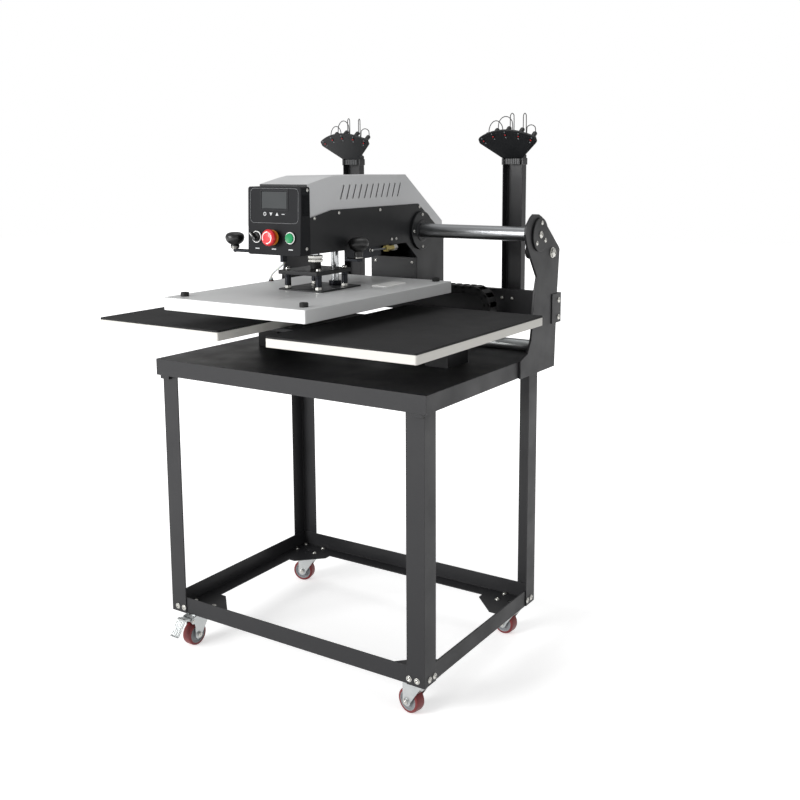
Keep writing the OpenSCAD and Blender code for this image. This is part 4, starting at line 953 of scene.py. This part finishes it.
class PRESS_OT_control_box(Maker):
    """Builds the control box with its front film, display, key marks, buttons and board"""

    bl_idname = "press.control_box"
    bl_label = "Control box"

    # Places on the panel, in mm: columns from its middle, and heights up from its foot
    columns = (-51, 0, 51)
    button_up, label_up, keys_up, display_up = 42, 14.5, 97, 129.8
    print_out = 0.05

    def make(self, sizes):
        rounded_copy("control_box", "box_powder_coat", 0.8 * MM)
        film = Piece("control_panel_film")
        border_up = 116.6
        outer, inner = round_rect(146, 82, 12), round_rect(144.8, 80.8, 11.4)
        film.join(ring_strip(outer, inner, 0.25), "grey_print", panel(0, border_up, self.print_out))
        surround = ring_strip(round_rect(86, 50.5, 3), round_rect(77, 41.5, 1), 0.8)
        film.join(surround, "front_film", panel(0, self.display_up, 0))
        ring = ring_strip(circle(4.6), circle(2.7), 0.3)
        film.join(ring, "white_print", panel(-27.9, self.keys_up, self.print_out))
        down, up = [(-4.6, 3.6), (0, -4.4), (4.6, 3.6)], [(-4.6, -3.6), (4.6, -3.6), (0, 4.4)]
        for x, mark in ((-9.3, down), (9.3, up), (27.9, round_rect(9, 1.8, 0.5, 3))):
            film.join(slab(mark, 0.3, 0.05), "white_print", panel(x, self.keys_up, self.print_out))
        for x in self.columns:
            label = slab(round_rect(13, 2.6, 0.6, 3), 0.25, 0.05)
            film.join(label, "white_print", panel(x, self.label_up, self.print_out))
        film.done("head", "dark_plate")
        screen = Piece("control_screen_glass")
        glass = slab(round_rect(75.6, 40, 0.8, 4), 1.4, 0.3)
        screen.join(glass, "display_glass", panel(0, self.display_up, -1.1))
        screen.done("head", "screen", "control_screen")
        rings = Piece("button_bezels_ringed")
        socket = [(11.4, 0), (15, 0), (15, 2.6), (14.7, 3), (14.3, 3), (14.3, 1), (11.4, 1), (11.4, 0)]
        insert = [(12.1, 1), (14.2, 1), (14.2, 3.9), (13.8, 4.4), (12.1, 4.4), (12.1, 1)]
        collar = [(11.4, 4.4), (17, 4.4), (18.2, 5.2), (18.2, 7.6), (17.4, 8.6), (11.4, 8.6), (11.4, 4.4)]
        for x in self.columns:
            seat = panel(x, self.button_up)
            rings.turn(socket, "black_abs", seat)
            rings.turn(insert, "orange_abs" if x == 0 else "white_abs", seat)
        rings.turn(collar, "orange_abs", panel(0, self.button_up))
        rings.done("head", "bezel_plastic", "button_bezels")
        self.buttons()
        rounded_copy("control_board", "circuit_board", 0.3 * MM)

    def buttons(self):
        """The selector with its lever, the mushroom stop and the start button."""
        left, middle, right = self.columns
        selector = Piece("selector_knob_lever")
        seat = panel(left, self.button_up)
        selector.turn([(0, -14), (10.9, -14), (10.9, 7.5), (10, 9), (0, 9)], "black_abs", seat)
        lever = seat @ spin(45, "Z")
        outline = [(-3.2, -9.5), (3.2, -9.5), (3.6, 12), (2.4, 15), (-2.4, 15), (-3.6, 12)]
        selector.join(slab(outline, 10, 1.1, 3), "black_abs", lever @ shift(0, 0, 8.8))
        pointer = slab(round_rect(1.6, 10, 0.7, 4), 0.4, 0.1)
        selector.join(pointer, "white_abs", lever @ shift(0, 8, 18.7))
        selector.done("selector", "black_plastic", "selector_knob")
        stop = Piece("estop_button_mushroom")
        seat = panel(middle, self.button_up)
        cap = [
            (0, -14), (10.9, -14), (10.9, 14), (15, 15), (18.6, 15.6), (19.8, 17.2), (20, 19.5), (19.4, 22.4),
            (17.6, 24.8), (14.8, 26.2), (11, 26.8), (5, 27), (0, 27),
        ]
        stop.turn(cap, "red_abs", seat)
        for k in range(2):
            turn = spin(100 + 180 * k, "Z")
            band = arc(0, 0, 14.2, 0, 110, 14) + list(reversed(arc(0, 0, 12, 0, 110, 14)))
            stop.join(slab(band, 0.9, 0.1), "white_abs", seat @ turn @ shift(0, 0, 25.75))
            head = [(10.4, 0), (15.8, 0), (13.1, -5.4)]
            stop.join(slab(head, 0.9, 0.1), "white_abs", seat @ turn @ shift(0, 0, 25.7))
        stop.done("estop", "red_plastic", "estop_button")
        start = Piece("start_button_cap")
        cap = [
            (0, -14), (10.9, -14), (10.9, 4.7), (11.9, 4.8), (11.9, 6.4), (11.2, 7.7), (9.8, 7.8), (8.6, 7.2),
            (0, 6.8),
        ]
        start.turn(cap, "green_abs", panel(right, self.button_up))
        start.done("start", "green_plastic", "start_button")


class PRESS_OT_air(Maker):
    """Builds the air cylinder, and the brass fitting with its tube and elbow"""

    bl_idname = "press.air"
    bl_label = "Air parts"

    def make(self, sizes):
        rounded_copy("air_cylinder", "milled_aluminium", 0.8 * MM)
        x, z = HEAD_X + 79, 1075.0
        fitting = Piece("air_fitting_brass")
        along = aim(place(x, 366, z), (0, 1, 0))
        fitting.join(hex_nut(16, 13, bore=5.2), "turned_brass", along)
        barrel = [
            (3, 12), (6.4, 12), (6.4, 20), (5.8, 21), (5.8, 30), (6.4, 31), (6.4, 39), (4.3, 39), (4.3, 30),
            (3, 30), (3, 12),
        ]
        fitting.turn(barrel, "turned_brass", along)
        rim = [(4.3, 38), (6.8, 38), (7.6, 39), (7.6, 51), (7, 52), (4.3, 52), (4.3, 38)]
        fitting.turn(rim, "nickel_plate", along, 48, (2, 3))
        inside = HEAD_X + 76 - 3.5
        elbow = upright(place(inside - 6.5, 392, z))
        fitting.join(disc(13, 8.8, 0.6), "turned_brass", elbow)
        fitting.join(brick((0, -6, -6), (8, 6, 6), 1), "turned_brass", elbow)
        route = ((368, 0), (348, 0), (326, 0.5), (312, 0.4), (304, 0))
        line = smooth_line([place(x, y, z + up) for y, up in route], 6)
        fitting.join(swept(line, 2.5 * MM, 16), "air_tube")
        bend = upright(place(inside - 4.5, 304, z - 4.5))
        fitting.join(disc(9, 12.4, 0.6), "nickel_plate", bend)
        across = aim(place(inside - 4.5, 304, z), (1, 0, 0))
        fitting.join(disc(9, 8.5, 0.6), "nickel_plate", across)
        fitting.join(disc(7, 14.5, 0.6), "nickel_plate", across)
        fitting.done("head", "brass", "air_fitting")


class PRESS_OT_carriage(Maker):
    """Builds what carries the upper platen: rod, guide column, plates and spacers"""

    bl_idname = "press.carriage"
    bl_label = "Press carriage"

    def make(self, sizes):
        rounded_copy("press_plates", "head_powder_coat", 0.8 * MM)
        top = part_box("piston_rod")[1].z / MM
        ram_y, plate_top = 172, 1036.0
        where = upright(at_head(0, ram_y, 0))
        rod = Piece("piston_rod_coupled")
        socket = [
            (0, plate_top), (13, plate_top), (13.5, plate_top + 0.6), (13.5, plate_top + 12),
            (12.4, plate_top + 16), (0, plate_top + 16),
        ]
        rod.turn(socket, "black_rubber", where)
        nut_z = plate_top + 16
        nut = [(0, 0), (15.8, 0), (17.4, 1.6), (17.4, 7), (15.6, 8), (15.6, 9.4), (17.4, 10.4), (17.4, 16.4)]
        nut = [(r, nut_z + up) for r, up in [*nut, (15.8, 18), (0, 18)]]
        rod.turn(nut, "nickel_plate", where, 48, (2, 3, 6, 7))
        stem = [
            (0, nut_z + 17), (10, nut_z + 17), (10, top - 10.5), (35.4, top - 10), (35.7, top - 9.4),
            (35.7, top - 0.5), (35.2, top), (0, top),
        ]
        rod.turn(stem, "polished_chrome", where)
        rod.done("press", "chrome", "piston_rod")
        low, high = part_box("guide_column")
        guide = Piece("guide_column_ground")
        spot = upright(at_head(0, 252, 0))
        foot, head = low.z / MM, high.z / MM
        guide.turn([(0, foot), (10, foot), (10, head - 1.5), (8.5, head), (0, head)], "polished_chrome", spot)
        collar = [(10, foot), (15, foot), (16, foot + 1), (16, foot + 9), (15, foot + 10), (10, foot + 10)]
        guide.turn(collar, "black_oxide", spot)
        guide.done("press", "chrome", "guide_column")
        studs = Piece("platen_studs_sprung")
        for x in (-48, 48):
            for y in (120, 228):
                spot = upright(at_head(x, y, 0))
                floor = 989.0
                studs.join(hex_nut(15, 8), "nickel_plate", spot @ shift(0, 0, floor))
                sleeve = [
                    (0, floor + 8), (7.2, floor + 8), (8, floor + 9), (8, floor + 28), (7.2, floor + 29),
                    (0, floor + 29),
                ]
                studs.turn(sleeve, "black_oxide", spot, 40)
                collar = [
                    (0, floor + 29), (7.6, floor + 29), (8.2, floor + 30), (8.2, floor + 36), (0, floor + 37)
                ]
                studs.turn(collar, "black_oxide", spot, 40)
                seat = spot @ shift(0, 0, plate_top)
                studs.join(disc(15, 1.4, 0.3), "nickel_plate", seat)
                studs.join(socket_screw(12.6, 6.2), "nickel_plate", seat)
        studs.done("press", "nickel", "platen_studs")


class PRESS_OT_upper_platen(Maker):
    """Builds the heated upper platen's housing, its caps, and the cable that feeds it"""

    bl_idname = "press.upper_platen"
    bl_label = "Upper platen"

    def make(self, sizes):
        wide, deep, tall, low_z, wall, middle_y = 426.8, 628.0, 30.7, 954.5, 2.0, 169.8
        edge = sizes.platen_edge / MM
        foot = upright(at_head(0, middle_y, low_z))
        housing = Piece("platen_housing_coated")
        shell = slab(round_rect(wide, deep, 4, 6), tall, 0)
        sharp = [e for e in shell.edges if all(abs(v.co.z - tall) < 0.01 for v in e.verts)]
        bmesh.ops.bevel(shell, geom=sharp, offset=edge, segments=4, profile=0.5, affect="EDGES")
        under = [f for f in shell.faces if all(abs(v.co.z) < 0.01 for v in f.verts)]
        bmesh.ops.inset_region(shell, faces=under, thickness=wall)
        bmesh.ops.translate(shell, vec=(0, 0, 6), verts=list({v for f in under for v in f.verts}))
        housing.join(shell, "white_powder_coat", foot)
        cap = [(0, 0), (9.4, 0), (10, 0.8), (10, 8.6), (9.2, 9.8), (5.4, 9.8), (4.6, 7), (0, 7)]
        for x in (-1, 1):
            for y in (-1, 1):
                inset = 26 if y > 0 else 38
                spot = at_head(x * (wide / 2 - 33.4), middle_y + y * (deep / 2 - inset), low_z + tall)
                housing.turn(cap, "black_rubber", upright(spot), 40, (5, 6))
        plate = slab(round_rect(42, 98, 1.5, 4), 3, 0.4)
        spot = at_head(115, 330, low_z + tall)
        housing.join(plate, "white_abs", upright(spot))
        gland = at_head(-207, 243.5, low_z + tall)
        housing.turn([(0, 0), (7, 0), (7, 2), (5, 4), (4.4, 9), (0, 9)], "black_rubber", upright(gland), 32)
        # The housing's front faces take the lighter copy of the white coat: a painted highlight
        recoat_front(housing.done("press", "white_paint", "platen_housing"), "white_coat_painted_front_highlight")
        rounded_copy("heating_plate", "milled_aluminium", 0.8 * MM)
        self.cable()

    def cable(self):
        """The heater's cable, from the arm to the upper platen."""
        rise, base = 91.974, 988.25
        route = (
            (-80, 146, 0.652), (-86, 148.5, 0.612), (-100, 158, 0.55), (-128, 178, 0.434),
            (-160, 203, 0.313), (-189, 225, 0.173), (-203, 238, 0.045), (-207, 243.5, 0),
        )
        line = smooth_line([at_head(x, y, base + share * rise) for x, y, share in route], 5)
        piece = Piece("heater_cable_sheathed").join(swept(line, 2.75 * MM, 18), "silicone_cable")
        made = piece.done(None, "white_cable", "heater_cable")
        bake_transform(made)


class PRESS_OT_dress_nodes(Maker):
    """Gives every solid that stays in view the finish of its material"""

    bl_idname = "press.dress_nodes"
    bl_label = "Plain nodes"

    def make(self, sizes):
        for name, node in NODES.items():
            if node.hide_render:
                continue
            node.data.materials.clear()
            node.data.materials.append(FINISHES[SLOT_FINISH[SLOT_OF[name]]])


class PRESS_OT_finishes(bpy.types.Operator):
    """Mixes the finishes of all the pieces"""

    bl_idname = "press.finishes"
    bl_label = "Finishes"

    def execute(self, context):
        FINISHES.update(make_finishes())
        return {"FINISHED"}


class PRESS_OT_stage(bpy.types.Operator):
    """Sets up the floor, the lamps, the world and the camera"""

    bl_idname = "press.stage"
    bl_label = "Stage"

    def execute(self, context):
        self.floor()
        self.world(context.scene)
        self.lamps(context.scene.press_sizes.lamp)
        self.camera(context.scene)
        context.scene.view_settings.view_transform = "Standard"
        return {"FINISHED"}

    def floor(self):
        """A pale floor that fades to white where it is lit, and keeps the shadow."""
        mesh = bpy.data.meshes.new("studio_floor")
        reach = 14
        corners = [(-reach, -reach, 0), (reach, -reach, 0), (reach, reach, 0), (-reach, reach, 0)]
        mesh.from_pydata(corners, [], [(0, 1, 2, 3)])
        ground = bpy.data.objects.new("studio_floor", mesh)
        bpy.context.scene.collection.objects.link(ground)
        made = bpy.data.materials.new("pale_floor")
        made.use_nodes = True
        tree = made.node_tree
        tree.nodes.clear()
        seen = seen_by_eye(tree, "Is Glossy Ray", "Is Transmission Ray")
        spot = add(tree, "TexCoord").outputs["Object"]
        away = add(tree, "VectorMath", {0: spot}, operation="LENGTH").outputs["Value"]
        level = remap(tree, away, 0.5, 2.6, 0.5, 1, interpolation_type="SMOOTHSTEP")
        lift = add(tree, "Math", {0: seen, 1: level}, operation="MULTIPLY").outputs[0]
        matt = add(tree, "BsdfDiffuse", {"Color": (0.86, 0.86, 0.86, 1)}).outputs[0]
        glow = add(tree, "Emission", {"Color": (1, 1, 1, 1), "Strength": lift}).outputs[0]
        both = add(tree, "AddShader", {0: matt, 1: glow}).outputs[0]
        add(tree, "OutputMaterial", {"Surface": both})
        mesh.materials.append(made)

    def world(self, scene):
        """A white world for the eye, and a soft grey one for the light on the object."""
        world = bpy.data.worlds.new("studio_world")
        world.use_nodes = True
        tree = world.node_tree
        tree.nodes.clear()
        level = remap(tree, seen_by_eye(tree, "Is Transmission Ray"), 0, 1, 0.5, 1)
        sky = add(tree, "Background", {"Color": (1, 1, 1, 1), "Strength": level}).outputs[0]
        add(tree, "OutputWorld", {"Surface": sky})
        scene.world = world

    def lamps(self, power):
        """The three square lamps, aimed at the middle of the press."""
        lamps = (
            ("key_lamp", (-1.5, -3.6, 1.9), 2.0, 1.6),
            ("fill_lamp", (3.4, -1.0, 2.0), 0.12, 2.0),
            ("top_lamp", (0.2, 0.4, 3.6), 0.26, 2.2),
        )
        for name, spot, share, size in lamps:
            data = bpy.data.lights.new(name, "AREA")
            data.shape, data.size, data.energy = "SQUARE", size, power * share
            lamp = bpy.data.objects.new(name, data)
            lamp.location = spot
            lamp.rotation_euler = (Vector((0, 0, 0.85)) - Vector(spot)).to_track_quat("-Z", "Y").to_euler()
            bpy.context.scene.collection.objects.link(lamp)

    def camera(self, scene):
        """The photograph's own angle, fitted to the table, the legs and the head."""
        data = bpy.data.cameras.new("front_camera")
        data.sensor_width = 36
        focal_px, image_px = 1020.93, 800
        data.lens = focal_px / image_px * data.sensor_width
        data.shift_x, data.shift_y = -0.0016, -0.10
        azimuth, down, roll = (math.radians(a) for a in (32.913, 8.816, -0.305))
        level = math.cos(down)
        ahead = Vector((-math.sin(azimuth) * level, math.cos(azimuth) * level, -math.sin(down)))
        right = Vector((math.cos(azimuth), math.sin(azimuth), 0))
        up = right.cross(ahead)
        x = right * math.cos(roll) + up * math.sin(roll)
        y = up * math.cos(roll) - right * math.sin(roll)
        camera = bpy.data.objects.new("front_camera", data)
        turn = Matrix((x, y, -ahead)).transposed().to_4x4()
        camera.matrix_world = Matrix.Translation(place(1552.02, -1855.49, 1299.82)) @ turn
        scene.collection.objects.link(camera)
        scene.camera = camera


class PRESS_PT_panel(bpy.types.Panel):
    """Lists the makers of the press"""

    bl_idname = "PRESS_PT_panel"
    bl_label = "Heat press"
    bl_space_type = "VIEW_3D"
    bl_region_type = "UI"
    bl_category = "Heat press"

    def draw(self, context):
        for group in (context.scene.press_paint, context.scene.press_sizes):
            for key in group.__annotations__:
                self.layout.prop(group, key)
        for operator in OPERATORS:
            self.layout.operator(operator.bl_idname)


OPERATORS = (
    PRESS_OT_stage, PRESS_OT_finishes, PRESS_OT_stand, PRESS_OT_fasteners, PRESS_OT_casters, PRESS_OT_stations,
    PRESS_OT_rear_frame, PRESS_OT_lasers, PRESS_OT_cable_chain, PRESS_OT_head, PRESS_OT_control_box,
    PRESS_OT_air,
    PRESS_OT_carriage, PRESS_OT_upper_platen, PRESS_OT_dress_nodes,
)
CLASSES = (PressPaint, PressSizes, *OPERATORS, PRESS_PT_panel)


def register():
    for each in CLASSES:
        bpy.utils.register_class(each)
    bpy.types.Scene.press_paint = PointerProperty(type=PressPaint)
    bpy.types.Scene.press_sizes = PointerProperty(type=PressSizes)


def unregister():
    del bpy.types.Scene.press_sizes
    del bpy.types.Scene.press_paint
    for each in reversed(CLASSES):
        bpy.utils.unregister_class(each)


def main():
    register()
    for operator in OPERATORS:
        group, name = operator.bl_idname.split(".")
        getattr(getattr(bpy.ops, group), name)()
    bpy.context.view_layer.update()


if __name__ == "__main__":
    main()
